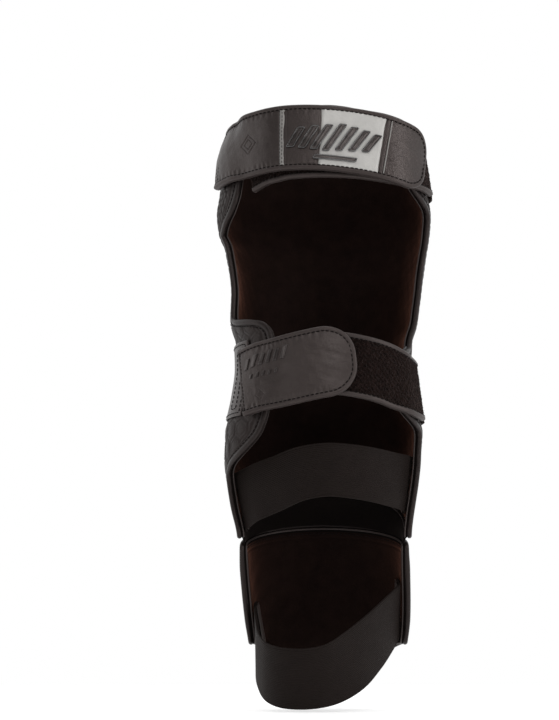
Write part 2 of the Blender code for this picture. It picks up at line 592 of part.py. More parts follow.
def make_emblem(strap, fold, depth, skins):
    """A plain moulded badge."""
    start, end, low, high = EMBLEM
    ways = np.linspace(start, end, EMBLEM_ROWS)
    cuts = np.maximum(EMBLEM_CUT - np.minimum(ways - start, end - ways), 0)
    grids = [[[strap.at(fold + way, y, depth + rise)[0] for y in np.linspace(low + cut, high - cut, 3)]
              for way, cut in zip(ways, cuts)] for rise in (0, EMBLEM_PROUD)]
    slab("patch_emblem", np.array(grids[0]), np.array(grids[1]), skins["moulded"])


def mid_flap():
    stations = [seat(pad_point, a, h, MID_HALF - 1, on_cover(FLAP_RISE), False) for a, h in MID_FLAP_SEAT]
    return Strap(stations + free(MID_FLAP))


def make_mid_flap(skins):
    strap = mid_flap()
    inset = BINDING_WIDE + GAP
    half, end, corner = MID_HALF - inset, strap.length - inset, MID_CORNER - inset
    face = LINING + GAP
    strap_layer("mid_flap_lining", strap, 1, end, half, 0, LINING, skins["neoprene"], corner)
    strap_layer("mid_flap_face", strap, 1, end, half, face, face + FACE, skins["leather"], corner)
    strap_binding("mid_flap_binding", strap, 1, end, half, -BINDING_PROUD, face + FACE + BINDING_PROUD,
                  skins["tape"], corner)
    strap_layer("mid_hook_panel", strap, end - MID_HOOK, end - HOOK_END, half - HOOK_INSET, -GAP - HOOK, -GAP,
                skins["hook"], HOOK_CORNER)
    mark, (first, last, low, high) = face + FACE + GAP, BADGE
    strap_layer("mid_flap_badge", strap, first, last, high, mark, mark + BADGE_PROUD, skins["moulded"], base=low)


def make_loop_strap(prefix, strap, half, skins):
    """The lower strap of a pair: a backing, the loop pile that hooks grip, and edge tape."""
    inset = BINDING_WIDE + GAP
    end, corner = strap.length - inset, LOOP_CORNER - inset

    def inner_half(share):
        return along(half, share) - inset

    pile = BACKING + GAP
    strap_layer(f"{prefix}_loop_backing", strap, 1, end, inner_half, 0, BACKING, skins["neoprene"], corner)
    strap_layer(f"{prefix}_loop_pile", strap, 1, end, inner_half, pile, pile + PILE, skins["loop"], corner)
    strap_binding(f"{prefix}_loop_binding", strap, 1, end, inner_half, -BINDING_PROUD,
                  pile + PILE + BINDING_PROUD / 2, skins["tape"], corner)


def loop_straps():
    upper, mid = [[seat(pad_point, a, h, LOOP_SEAT_HALF, on_cover(SEAT_RISE), bows) for a, h in places]
                  for places, bows in ((UPPER_LOOP_SEAT, True), (MID_LOOP_SEAT, False))]
    return Strap(upper + free(UPPER_LOOP), 5), Strap(mid + free(MID_LOOP))


def make_loop_straps(skins):
    upper, mid = loop_straps()
    make_loop_strap("upper", upper, UPPER_LOOP_HALF, skins)
    make_loop_strap("mid", mid, MID_LOOP_HALF, skins)


def elastic_seats(surface, places, half):
    """Where an elastic's two ends lie inside a pad. It stands further off near the edge tape."""
    left, right = places
    inside = ELASTIC_SEAT_DEPTHS
    return [[seat(surface, a, m, half, lambda _a, _m, d=d: d) for d, (a, m) in zip(inside, left)],
            [seat(surface, a, m, half, lambda _a, _m, d=d: d) for d, (a, m) in zip(inside[::-1], right)]]


def make_elastics(skins):
    """Two woven elastic bands, sewn inside the pads, and the stitched tabs that cover their ends."""
    shares = np.linspace(0, 1, len(FOOT_ELASTIC))
    ups = [[np.interp(s, [k[0] for k in FOOT_ACROSS], [k[1][i] for k in FOOT_ACROSS]) for i in range(3)]
           for s in shares]
    start, finish = elastic_seats(pad_point, ANKLE_ELASTIC_SEAT, 24)
    ankle = Strap(start + free(ANKLE_ELASTIC) + finish)
    start, finish = elastic_seats(instep_point, FOOT_ELASTIC_SEAT, -27)
    foot = Strap(start + free(FOOT_ELASTIC, ups) + finish)
    for name, strap, half in (("ankle_elastic", ankle, ANKLE_ELASTIC_HALF),
                              ("foot_elastic", foot, FOOT_ELASTIC_HALF)):
        def half_at(share, half=half):
            return along(half, share)
        strap_layer(name, strap, 0, strap.length, half_at, -WEBBING / 2, WEBBING / 2, skins["elastic"])
        inside = -WEBBING / 2 - GAP
        last_marks = math.floor((strap.length - 2) / STEP) * STEP - STEP
        for end, first, last in (("left", 0, 2 * STEP), ("right", last_marks, strap.length)):
            reach = float(half_at(0.0 if end == "left" else 1.0)) - 1
            strap_layer(f"{name}_{end}_tab", strap, first, last, reach, inside - TAB_THICK, inside, skins["tape"])


# ---- Joints ----------------------------------------------------------------------------------
def hang_moving_pieces():
    """Gives each moving piece a parent empty on its joint's axis. The anchors are sewn to the wings."""
    pieces = [o for o in bpy.data.objects if o.type == "MESH" and not o.name.endswith("_anchor")]
    for name, point, starts in JOINTS:
        empty = bpy.data.objects.new(f"{name}_axis", None)
        empty.location = np.array(point) * MM
        bpy.context.scene.collection.objects.link(empty)
        for obj in [o for o in pieces if o.name.startswith(starts)]:
            obj.parent = empty
            obj.location = -empty.location


# ---- The whole guard -------------------------------------------------------------------------
def main():
    for old in list(bpy.data.objects):
        bpy.data.objects.remove(old)
    skins = {
        "leather": material("smooth_leather", (0.018, 0.017, 0.017), 0.42),
        "textured": material("textured_leather", (0.03, 0.029, 0.029), 0.6),
        "lining": material("suede_lining", (0.012, 0.01, 0.01), 0.95),
        "foam": material("eva_foam", (0.08, 0.08, 0.085), 0.9),
        "neoprene": material("neoprene", (0.02, 0.02, 0.02), 0.9),
        "tape": material("edge_tape", (0.05, 0.048, 0.047), 0.7),
        "loop": material("loop_pile", (0.02, 0.016, 0.015), 1.0),
        "hook": material("hook_tape", (0.02, 0.02, 0.02), 0.8),
        "elastic": material("woven_elastic", (0.025, 0.022, 0.02), 0.85),
        "stretch": material("stretch_panel", (0.015, 0.015, 0.015), 0.9),
        "silver": material("silver_leather", (0.5, 0.49, 0.47), 0.45),
        "grey": material("grey_tape", (0.3, 0.29, 0.28), 0.6),
        "moulded": material("moulded_rubber", (0.02, 0.02, 0.02), 0.3),
    }
    make_shin_pad(skins)
    make_anchors(skins)
    make_instep(skins)
    make_gusset(skins)
    make_upper_strap(skins)
    make_mid_flap(skins)
    make_loop_straps(skins)
    make_elastics(skins)
    hang_moving_pieces()


main()
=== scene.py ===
import math

import bpy
import numpy as np
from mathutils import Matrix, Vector, kdtree


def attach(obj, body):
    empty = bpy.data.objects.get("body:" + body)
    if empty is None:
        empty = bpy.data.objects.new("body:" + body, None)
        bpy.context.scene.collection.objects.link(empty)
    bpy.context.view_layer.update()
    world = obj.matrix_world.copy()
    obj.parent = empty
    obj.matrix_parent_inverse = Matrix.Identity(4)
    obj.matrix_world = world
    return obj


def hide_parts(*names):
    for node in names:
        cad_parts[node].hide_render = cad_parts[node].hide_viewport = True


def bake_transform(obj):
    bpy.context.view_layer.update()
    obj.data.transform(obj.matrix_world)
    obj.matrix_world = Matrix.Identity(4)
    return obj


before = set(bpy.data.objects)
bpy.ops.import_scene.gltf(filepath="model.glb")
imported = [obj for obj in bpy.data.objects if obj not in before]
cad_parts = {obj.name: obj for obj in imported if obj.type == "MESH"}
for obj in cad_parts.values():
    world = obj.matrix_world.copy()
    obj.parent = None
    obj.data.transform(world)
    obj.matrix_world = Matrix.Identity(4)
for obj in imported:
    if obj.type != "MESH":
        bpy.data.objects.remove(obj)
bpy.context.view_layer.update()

# Lengths are in millimetres, in the frame of the CAD part, until a mesh is made.
MM = 0.001
GAP = 0.4
RANDOM = np.random.default_rng(7)
PATH_SAMPLES = 500

# ---- The pads' surfaces ----------------------------------------------------------------------
# Knots are (height, value). A rim is (row, degrees round from the front).
HALF_WIDTH = [(140, 74.5), (150, 75.5), (174, 79.7), (196, 83.3), (212, 85), (236, 85.5), (252, 82),
              (268, 78.8), (292, 76), (314, 77), (332, 82), (363, 84), (398, 89.3), (412, 93), (430, 94.5),
              (449, 91.8), (476, 88.5), (494, 84), (518, 74.5), (548, 62)]
SIDE_SHIFT = [(140, 0.4), (174, -1), (212, -1), (236, 0), (292, 0.5), (332, 0.8), (363, 2.9), (398, 3),
              (412, 1.2), (449, 0.5), (476, 0), (494, 1), (518, 2.5), (548, 3)]
SECTION_CENTRE_Y, FRONT_DEPTH, BACK_DEPTH = -4.0, 54.0, 56.0
BODY_THICK, SIDE_THICK, EDGE_THICK, SKIN = 24.0, 6.5, 5.0, 1.5
LEFT_RIM = [(144, 94), (190, 95), (199, 97), (207, 106), (214, 118), (222, 129), (233, 138), (245, 141),
            (300, 142), (314, 141), (322, 137), (326, 124), (329, 106), (333, 97), (345, 96), (395, 96),
            (409, 97), (413, 103), (418, 109), (428, 119), (440, 123), (488, 124), (497, 121), (508, 112),
            (520, 100), (548, 90)]
RIGHT_RIM = [(144, 94), (200, 95), (232, 96), (238, 99), (243, 108), (250, 118), (258, 124), (288, 124),
             (297, 119), (302, 108), (306, 98), (312, 96), (400, 96), (424, 96), (431, 101), (437, 110),
             (446, 119), (456, 123), (488, 123), (497, 119), (508, 109), (518, 98), (548, 90)]
PAD_BOTTOM, BOTTOM_ARCH = 148.0, 42.0
PAD_TOP_SIDE, PAD_TOP = 500.0, 545.0
STEADY_LOW, STEADY_HIGH, FIRST_ROW, LAST_ROW = 200.0, 492.0, 144.0, 545.0
FRONT_EDGE, WING_GAP = 54.0, 0.5  # degrees round to the front cover's edge, and from it to a wing
RIDGE_EDGE, RIDGE_LOW, RIDGE_HIGH, RIDGE_THICK = 33.0, 224.0, 503.0, 6.9
FRONT_SEAM = RIDGE_EDGE + 3  # degrees round to the seam beside the bar
# The bar's sewn channels: how many, the lowest one's height, the pitch, the rise per degree and the depth.
CHANNELS, FIRST_CHANNEL, CHANNEL_PITCH, CHANNEL_BOW, CHANNEL_DEEP = 5, 262, 52, 0.12, 1.9
SMALL_CELL, LARGE_CELL, CELL_CHANGE = 7.2, 17.0, 330  # the wings' honeycomb, and the height where it changes
# Panels sewn to the wings: first and last degrees round, then lowest and highest.
LOOP_ANCHORS = {"upper_loop_anchor": (68, 93, 442, 494), "mid_loop_anchor": (68, 93, 244, 296)}
PANEL_RISE = 0.7
MID_ROOT, MID_ROOT_BOX = (-122, -60, 247, 312), (-113, -104, 254, 305)

ANKLE = np.array([0.0, 0.0, 148.0])
FOOT_TILT = math.radians(30)
DOWN_FOOT = np.array([0.0, math.sin(FOOT_TILT), -math.cos(FOOT_TILT)])
OFF_FOOT = np.array([0.0, math.cos(FOOT_TILT), math.sin(FOOT_TILT)])
INSTEP_HALF_WIDTH = [(0, 66.5), (50, 66), (100, 63.5), (150, 50)]
INSTEP_RISE = [(0, 46), (70, 40), (150, 27)]
INSTEP_SHIFT = [(0, 0), (100, 3), (150, 3)]
INSTEP_BASE, INSTEP_BODY, INSTEP_SIDE, INSTEP_EDGE = -6.0, 16.0, 6.0, 5.0
INSTEP_TOP, INSTEP_TOP_ARCH, INSTEP_END_SIDE, INSTEP_END = 8.0, 7.0, 100.0, 150.0
INSTEP_REACH, INSTEP_SEAM = 90, 40  # degrees round to the pad's side, and to the seam beside the bar
# The instep bar: degrees round to its side, then its ends and its channels as shares of the pad's length.
INSTEP_BAR_EDGE, INSTEP_BAR, INSTEP_CHANNELS = 32, (0.18, 0.73), (0.38, 0.55)

# ---- Straps: seats on the pads, then free paths ----------------------------------------------
UPPER_STRAP_SEAT = [(-97, 476), (-104, 476.5), (-112, 477), (-120, 477.6)]
UPPER_LOOP_SEAT = [(97, 468), (104, 468.6), (112, 469.4), (120, 470.2)]
MID_FLAP_SEAT = [(-123.5, 272.8), (-129, 274.4), (-134.5, 276), (-140, 277.4)]
MID_LOOP_SEAT = [(97, 270), (104, 270.7), (112, 271.8), (120, 273.6)]
ANKLE_ELASTIC_SEAT = [(-80, 176), (-88, 176.4), (-95, 177)], [(95, 191.4), (88, 190.8), (80, 190)]
FOOT_ELASTIC_SEAT = [(-74, 92), (-84, 92), (-92, 92)], [(92, 70), (84, 70), (74, 70)]
ELASTIC_SEAT_DEPTHS = (-2.0, -2.4, -2.9)
UPPER_STRAP = [(-64, -49, 478.4), (-54.5, -58.5, 478.6), (-43, -67, 478.8), (-29, -73, 478.8),
               (-10, -76, 478.2), (10, -76, 476.8), (32, -74, 474.2), (51, -69.5, 471), (66.5, -62, 467.6),
               (78.5, -51.5, 464.4), (85, -43, 462.4)]
UPPER_LOOP = [(67, -48.5, 471.6), (58, -56, 472.6), (46, -62.5, 473.6), (30, -67, 474.6), (10, -69, 475.4),
              (-10, -69, 475.4), (-27, -66, 475), (-38, -60.5, 474), (-46, -54.5, 473.4), (-53, -48.8, 471.8),
              (-59, -43.8, 469.6), (-66, -37.6, 466.8)]
MID_FLAP = [(-36, -62.5, 279.6), (-22, -67, 282.4), (-4, -69.8, 286), (12, -69.8, 288.6), (27, -67, 290.4)]
MID_LOOP = [(59, -44.5, 277), (49, -51, 280.6), (34, -57.5, 284), (12, -62.3, 287), (-10, -62, 287.5),
            (-26, -57.5, 286), (-33, -54, 285)]
ANKLE_ELASTIC = [(-59, -23.5, 182.5), (-40, -36.5, 189), (-20, -48, 196), (2, -52.5, 199), (22, -49.5, 198),
                 (40, -41.5, 196), (59, -26, 193)]
FOOT_ELASTIC = [(-58.6, 20, 53), (-55.5, -1, 41), (-48, -19, 32), (-34, -31, 27.6), (-14, -35, 27),
                (6, -32, 31), (24, -21, 41.5), (41, -3, 57), (54, 14, 71.5)]
FOOT_ACROSS = [(0, (0, -0.5, 0.866)), (0.4, (0, -0.38, 0.925)), (0.75, (-0.26, -0.38, 0.89)),
               (1, (-0.08, -0.48, 0.87))]
UPPER_HALF, UPPER_CORNER, MID_HALF, MID_CORNER = 28.5, 20.0, 30.0, 26.0
UPPER_LOOP_HALF = [(0, 26.5), (0.35, 30.5), (1, 30.5)]
MID_LOOP_HALF = [(0, 26.5), (1, 27)]
ANKLE_ELASTIC_HALF = [(0, 25), (0.5, 22.5), (1, 24)]
FOOT_ELASTIC_HALF = [(0, 27), (1, 27)]
LINING, FACE, HOOK, BACKING, PILE, WEBBING = 3.0, 1.4, 1.2, 2.2, 1.4, 2.0
HEM, HEM_SEAM = 12, 8  # an elastic's hem, and the seam across it, from its end
SEAT_RISE, FLAP_RISE, SEAT_HALF_IN = 1.6, 3.2, 1.0
INSET = 3.4  # from a strap's edge to where its layers end, under the binding
UNDER_TAPE, OVER_TAPE = -0.75, 0.85  # how far edge tape stands out past a strap's inside and outside
TAPE_IN, TAPE_OUT = 1.6, 3.3  # how far it reaches in and out from where the layers end
TAPE_STITCH = {"pitch": 3.9, "length": 3.0, "radius": 0.45}
SEAM_STITCH = {"pitch": 3.0, "length": 2.1, "radius": 0.3}
LOOP_SEAT_HALF = 26
FLAP_SEAM = 3.2  # along the flap, to the seam across its root
FOLD_X, MARK_X = -35.5, -60  # where the upper strap folds, and its debossed mark
FOLD_BEND = (-6.0, 1.0)  # along the strap from the fold; the root's layers end at the second
# The patch: each piece's name, its start and end from the fold, its finish, its CAD node and its height.
PATCH = (("patch_stitched_strip", 1.2, 5.4, "grey", "patch_side_strip", 0.75),
         ("patch_dark_leather", 5.4, 33.9, "leather", "patch_dark_panel", 0.7),
         ("patch_silver_leather", 33.9, 86.2, "silver", "patch_light_panel", 0.75),
         ("patch_end_leather", 86.2, 90.6, "leather", "patch_end_strip", 0.8))
# The badge's bars: how many, the first one's middle from the fold, the pitch, the width and the slant.
EMBLEM_BARS, EMBLEM_START, EMBLEM_PITCH, EMBLEM_WIDE, EMBLEM_SLANT = 7, 14.5, 10.4, 5.6, 0.55


# ---- Curves and fields -----------------------------------------------------------------------
def along(knots, x):
    """The smooth curve through (x, value) knots, read at x. It doesn't overshoot the knots."""
    at = np.array([k[0] for k in knots], float)
    value = np.array([k[1] for k in knots], float)
    x = np.clip(np.asarray(x, float), at[0], at[-1])
    step = np.diff(value) / np.diff(at)
    slope = np.zeros(len(at))
    same_way = step[:-1] * step[1:] > 0
    slope[1:-1][same_way] = 2 * step[:-1][same_way] * step[1:][same_way] / (step[:-1] + step[1:])[same_way]
    i = np.clip(np.searchsorted(at, x, side="right") - 1, 0, len(at) - 2)
    width = at[i + 1] - at[i]
    t = (x - at[i]) / width
    rise = value[i + 1] - value[i]
    return (value[i] + rise * t * t * (3 - 2 * t)
            + width * t * (1 - t) * ((1 - t) * slope[i] - t * slope[i + 1]))


def unit(v):
    return v / np.maximum(np.linalg.norm(v, axis=-1, keepdims=True), 1e-12)


def ramp(x):
    x = np.clip(x, 0, 1)
    return x * x * (3 - 2 * x)


def smooth_path(points):
    """A Catmull-Rom curve through rows that start with x, y, z: evenly spaced samples, and its length."""
    p = np.array(points, float)
    p = np.vstack([2 * p[0] - p[1], p, 2 * p[-1] - p[-2]])
    out = []
    for a, b, c, d in zip(p[:-3], p[1:-2], p[2:-1], p[3:]):
        t = np.linspace(0, 1, 24, endpoint=False)[:, None]
        out.append(0.5 * (2 * b + (c - a) * t + (2 * a - 5 * b + 4 * c - d) * t**2
                          + (3 * b - a - 3 * c + d) * t**3))
    line = np.vstack([*out, p[-2:-1]])
    run = np.concatenate([[0], np.cumsum(np.linalg.norm(np.diff(line[:, :3], axis=0), axis=1))])
    even_run = np.linspace(0, run[-1], PATH_SAMPLES)
    return np.stack([np.interp(even_run, run, column) for column in line.T], axis=1), run[-1]


def ripple(x, y, size, phase):
    """A smooth, irregular field from -1 to 1 with features about size across."""
    k = 2 * math.pi / size
    return (np.sin(k * (x + 0.31 * y) + phase) + np.sin(k * (0.73 * y - 0.52 * x) + 1.7 * phase + 2)
            + np.sin(1.37 * k * (0.45 * x + 0.9 * y) + 3.1 + phase)) / 3


def hexagon_edge(x, y, size):
    """How far a point is from the nearest edge of a honeycomb whose cells are size across."""
    best = None
    tall = size * math.sqrt(3)
    for shift in (0.0, 0.5):
        gx = np.abs(np.mod(x - shift * size, size) - size / 2)
        gy = np.abs(np.mod(y - shift * tall, tall) - tall / 2)
        reach = np.maximum(gx, 0.5 * gx + math.sqrt(3) / 2 * gy)
        best = reach if best is None else np.minimum(best, reach)
    return size / 2 - best


def groove(distance, wide):
    """1 on a line and 0 beyond wide from it."""
    return ramp(1 - np.abs(distance) / wide)


def rim_distance(p):
    """How far each point of a grid is from the grid's border, along its rows and columns."""
    found = None
    for axis in (0, 1):
        steps = np.linalg.norm(np.diff(p, axis=axis), axis=-1)
        start = np.zeros_like(np.take(steps, [0], axis=axis))
        run = np.concatenate([start, np.cumsum(steps, axis=axis)], axis=axis)
        near = np.minimum(run, np.take(run, [-1], axis=axis) - run)
        found = near if found is None else np.minimum(found, near)
    return found


# ---- The shin pad's and instep pad's surfaces ------------------------------------------------
def cosine(degrees):
    return np.clip(np.cos(np.radians(degrees)), 0, 1)


def pad_bottom(degrees):
    return PAD_BOTTOM + BOTTOM_ARCH * cosine(degrees) ** 0.7


def pad_top(degrees):
    return PAD_TOP_SIDE + (PAD_TOP - PAD_TOP_SIDE) * cosine(degrees) ** 1.2


def row_height(row, degrees):
    low = (row - FIRST_ROW) / (STEADY_LOW - FIRST_ROW)
    high = (row - STEADY_HIGH) / (LAST_ROW - STEADY_HIGH)
    bottom, top = pad_bottom(degrees), pad_top(degrees)
    return np.where(row < STEADY_LOW, bottom + low * (STEADY_LOW - bottom),
                    np.where(row > STEADY_HIGH, STEADY_HIGH + high * (top - STEADY_HIGH), row))


def pad_thickness(degrees, height):
    round_it = ramp((78 - np.abs(degrees)) / 58)
    side = SIDE_THICK + (EDGE_THICK - SIDE_THICK) * ramp((np.abs(degrees) - 82) / 20)
    body = side + (BODY_THICK - SIDE_THICK) * round_it
    from_edge = np.minimum(height - pad_bottom(degrees), pad_top(degrees) - height)
    return EDGE_THICK + (body - EDGE_THICK) * ramp(0.12 + from_edge / 32)


def pad_point(degrees, height, depth):
    degrees, height, depth = np.broadcast_arrays(*(np.asarray(v, float) for v in (degrees, height, depth)))
    a = along(HALF_WIDTH, height) - SIDE_THICK
    s, c = np.sin(np.radians(degrees)), np.cos(np.radians(degrees))
    b = np.where(c > 0, FRONT_DEPTH, BACK_DEPTH)
    n = unit(np.stack([s / a, c / b, np.zeros_like(a)], -1))
    p = np.stack([along(SIDE_SHIFT, height) + a * s, SECTION_CENTRE_Y + b * c, height], -1)
    return p + depth[..., None] * n, n


def instep_top(degrees):
    return INSTEP_TOP + INSTEP_TOP_ARCH * np.cos(np.radians(degrees))


def instep_end(degrees):
    return INSTEP_END_SIDE + (INSTEP_END - INSTEP_END_SIDE) * cosine(degrees) ** 1.8


def instep_thickness(degrees, way):
    body = INSTEP_SIDE + (INSTEP_BODY - INSTEP_SIDE) * ramp((80 - np.abs(degrees)) / 60)
    from_edge = np.minimum(way - instep_top(degrees), instep_end(degrees) - way)
    return INSTEP_EDGE + (body - INSTEP_EDGE) * ramp(0.12 + from_edge / 26)


def instep_point(degrees, way, depth):
    degrees, way, depth = np.broadcast_arrays(*(np.asarray(v, float) for v in (degrees, way, depth)))
    a, b = along(INSTEP_HALF_WIDTH, way), along(INSTEP_RISE, way)
    s, c = np.sin(np.radians(degrees)), np.cos(np.radians(degrees))
    turn = unit(np.stack([s / a, c / b], -1))
    n = turn[..., :1] * np.array([1.0, 0, 0]) + turn[..., 1:] * OFF_FOOT
    p = ANKLE + way[..., None] * DOWN_FOOT + (INSTEP_BASE + b * c)[..., None] * OFF_FOOT
    side = (along(INSTEP_SHIFT, way) + a * s)[..., None] * np.array([1.0, 0, 0])
    return p + side + depth[..., None] * n, n


# ---- Straps' paths ---------------------------------------------------------------------------
def seat(surface, angle, middle, half, depth, bows=False):
    """A strap's station on a pad: its place, the way across it, and how far the pad bulges under it."""
    low, mid, high = (surface(angle, middle + k * half, depth(angle, middle + k * half)) for k in (-1, 0, 1))
    centre = (low[0] + high[0]) / 2
    bow = max(0.0, float((mid[0] - centre) @ mid[1])) if bows else 0.0
    return [*centre, *unit(high[0] - low[0]), bow]


def free(points, ups=None):
    """A strap's stations off the pads: places, and the way across at each."""
    ups = [(0.0, 0.0, 1.0)] * len(points) if ups is None else ups
    return [[*p, *up, 0.0] for p, up in zip(points, ups)]


def on_cover(rise):
    return lambda angle, height: pad_thickness(angle, height) + rise


class Band:
    """A strap along a path. Its face is read at (way along, way across, depth out)."""

    def __init__(self, stations):
        path, self.length = smooth_path(stations)
        self.line, self.bow = path[:, :3], path[:, 6]
        tangent = unit(np.gradient(self.line, axis=0))
        self.up = unit(path[:, 3:6] - tangent * (path[:, 3:6] * tangent).sum(1, keepdims=True))
        self.out = unit(np.cross(tangent, self.up))
        if self.out[len(self.line) // 2] @ np.array([0, -1, 0]) < 0:
            self.out = -self.out

    def read(self, way, values):
        k = np.clip(np.asarray(way, float) / self.length, 0, 1) * (len(self.line) - 1)
        i = np.minimum(k.astype(int), len(self.line) - 2)
        t = k - i
        if values.ndim > 1:
            t = t[..., None]
        return values[i] * (1 - t) + values[i + 1] * t

    def at(self, way, across, depth):
        way, across, depth = np.broadcast_arrays(*(np.asarray(v, float) for v in (way, across, depth)))
        out = unit(self.read(way, self.out))
        rise = self.read(way, self.bow) * (1 - (across / UPPER_HALF) ** 2)
        return (self.read(way, self.line) + across[..., None] * self.read(way, self.up)
                + (depth + rise)[..., None] * out), out

    def way_at_x(self, x):
        past = (self.line[:, 0] - x) * np.sign(self.line[-1, 0] - self.line[0, 0]) > 0
        return self.length * np.argmax(past) / (len(self.line) - 1)

    def rows(self, start, end, half, corner=0.0, step=1.6):
        """Ways along from start to end, and the half-width at each, with the end's corners rounded."""
        stop = end - corner
        ways = np.linspace(start, stop, max(3, int((stop - start) / step)))
        if corner:
            ways = np.append(ways, stop + corner * np.sin(np.linspace(0, math.pi / 2, 18)[1:]) * 0.9995)
        halves = half(ways / self.length) if callable(half) else np.full(len(ways), float(half))
        into = np.maximum(ways - stop, 0)
        if corner:
            halves = halves - (corner - np.sqrt(np.maximum(corner**2 - into**2, 0)))
        return ways, halves


def knots_half(knots, less=0.0):
    return lambda share: along(knots, share) - less


# ---- Meshes ----------------------------------------------------------------------------------
def quads(rows, columns, wrap=False):
    r = np.arange(rows - 1)[:, None]
    c = np.arange(columns if wrap else columns - 1)[None]
    a, b = r * columns + c, r * columns + (c + 1) % columns
    return np.stack([a, b, b + columns, a + columns], -1).reshape(-1, 4)


def put(name, points, faces, skin, body, stands=()):
    """One object from points in millimetres, standing for CAD nodes. It joins a body named by a string, and
    is otherwise left where it is.
    """
    mesh = bpy.data.meshes.new(name)
    mesh.from_pydata((np.asarray(points) * MM).tolist(), [], np.asarray(faces).tolist())
    mesh.update()
    mesh.shade_smooth()
    obj = bpy.data.objects.new(name, mesh)
    mesh.materials.append(SKINS[skin])
    bpy.context.scene.collection.objects.link(obj)
    if isinstance(body, str):
        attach(obj, body)
    elif body:
        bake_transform(obj)
    if stands:
        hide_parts(*stands)
    return obj


def closed_shell(top, bottom):
    """Points and faces of a closed solid between two grids."""
    rows, columns = top.shape[:2]
    count = rows * columns
    face = quads(rows, columns)
    rim = np.concatenate([np.arange(columns), np.arange(1, rows) * columns + columns - 1,
                          (rows - 1) * columns + np.arange(columns - 2, -1, -1),
                          np.arange(rows - 2, 0, -1) * columns])
    after = np.roll(rim, -1)
    side = np.stack([after, rim, rim + count, after + count], -1)
    faces = np.concatenate([face, face[:, ::-1] + count, side])
    i, j = rows // 2, columns // 2
    turn = np.cross(top[i, j + 1] - top[i, j], top[i + 1, j] - top[i, j])
    if turn @ (top[i, j] - bottom[i, j]) < 0:
        faces = faces[:, ::-1]
    return np.concatenate([top.reshape(-1, 3), bottom.reshape(-1, 3)]), faces


def pillow(surface, u, v, low, high, edge, relief=0.0, under=0.0):
    """A skin over a grid with rounded borders. relief is added to its outside and under to its inside."""
    low, high = np.broadcast_to(low, u.shape), np.broadcast_to(high, u.shape)
    mid = (low + high) / 2
    near = rim_distance(surface(u, v, mid)[0])
    full = np.sqrt(np.clip(1 - (1 - np.clip(near / edge, 0, 1)) ** 2, 0.0, 1))
    full = np.maximum(full, 0.12)
    top = surface(u, v, mid + (high - mid) * full + relief * ramp(near / edge))[0]
    bottom = surface(u, v, mid - (mid - low) * full + under * ramp(near / edge))[0]
    return closed_shell(top, bottom)


def even(step, points, *others, closed=False):
    """The path and what goes along it, read again at even steps."""
    if closed:
        points, others = np.vstack([points, points[:1]]), [np.concatenate([o, o[:1]]) for o in others]
    run = np.concatenate([[0], np.cumsum(np.linalg.norm(np.diff(points, axis=0), axis=1))])
    at = np.linspace(0, run[-1], max(3, int(run[-1] / step)), endpoint=not closed)

    def read(value):
        if value.ndim == 1:
            return np.interp(at, run, value)
        return np.stack([np.interp(at, run, column) for column in value.T], -1)

    return [read(points)] + [read(o) for o in others]


def smoothed(values, times, closed):
    for _ in range(times):
        near = (np.roll(values, 1, 0) + np.roll(values, -1, 0)) / 2
        if not closed:
            near[0], near[-1] = values[0], values[-1]
        values = (values + near) / 2
    return values


def bead(points, normals, outs, wide, thick, power, count, closed=False):
    """A rounded strip along a path: half-width wide along outs, half-thickness thick along normals."""
    wide, thick = np.broadcast_to(wide, len(points)), np.broadcast_to(thick, len(points))
    angle = np.linspace(0, 2 * math.pi, count, endpoint=False)
    c, s = np.cos(angle), np.sin(angle)
    x, y = np.sign(c) * np.abs(c) ** (2 / power), np.sign(s) * np.abs(s) ** (2 / power)
    ring = (points[:, None] + outs[:, None] * (x * wide[:, None])[..., None]
            + normals[:, None] * (y * thick[:, None])[..., None])
    if closed:
        ring = np.concatenate([ring, ring[:1]])
    faces = quads(len(ring), count, wrap=True)
    caps = [[i, i + 1, count - 2 - i, count - 1 - i] for i in range(count // 2 - 1)]
    if not closed:
        caps = np.array(caps)
        faces = np.concatenate([faces, caps[:, ::-1], caps + (len(ring) - 1) * count])
    ahead = ring[1].mean(0) - ring[0].mean(0)
    if np.cross(outs[0], normals[0]) @ ahead > 0:
        faces = faces[:, ::-1]
    return ring.reshape(-1, 3), faces


def joined(parts):
    """Several (points, faces) as one."""
    shift, points, faces = 0, [], []
    for p, f in parts:
        points.append(p)
        faces.append(np.asarray(f) + shift)
        shift += len(p)
    return np.concatenate(points), np.concatenate(faces)


def stitches(points, normals, pitch=3.8, length=2.9, radius=0.42, closed=False):
    """Short lengths of thread laid end to end along a path."""
    p, n = even(pitch, points, normals, closed=closed)
    if closed:
        p, n = np.vstack([p, p[:1]]), np.vstack([n, n[:1]])
    middle = (p[1:] + p[:-1]) / 2
    ahead = unit(p[1:] - p[:-1])
    lift = unit(n[1:] + n[:-1])
    side = unit(np.cross(ahead, lift))
    lift = np.cross(side, ahead)
    x = np.array([-0.5, -0.42, -0.2, 0.2, 0.42, 0.5]) * length
    r = np.array([0.3, 0.75, 1, 1, 0.75, 0.3]) * radius
    sink = np.array([-0.5, -0.15, 0, 0, -0.15, -0.5]) * radius
    turn = np.arange(6) * math.pi / 3
    local = np.stack([np.repeat(x, 6), np.tile(np.cos(turn), 6) * np.repeat(r, 6),
                      np.tile(np.sin(turn), 6) * np.repeat(r, 6) * 0.8 + np.repeat(sink, 6)], -1)
    points = (middle[:, None] + ahead[:, None] * local[None, :, :1] + side[:, None] * local[None, :, 1:2]
              + lift[:, None] * local[None, :, 2:])
    face = np.concatenate([quads(6, 6, wrap=True), [[0, 1, 2, 3], [0, 3, 4, 5]],
                           [[33, 32, 31, 30], [35, 34, 33, 30]]])
    faces = (face[None] + 36 * np.arange(len(middle))[:, None, None]).reshape(-1, 4)
    return points.reshape(-1, 3), faces


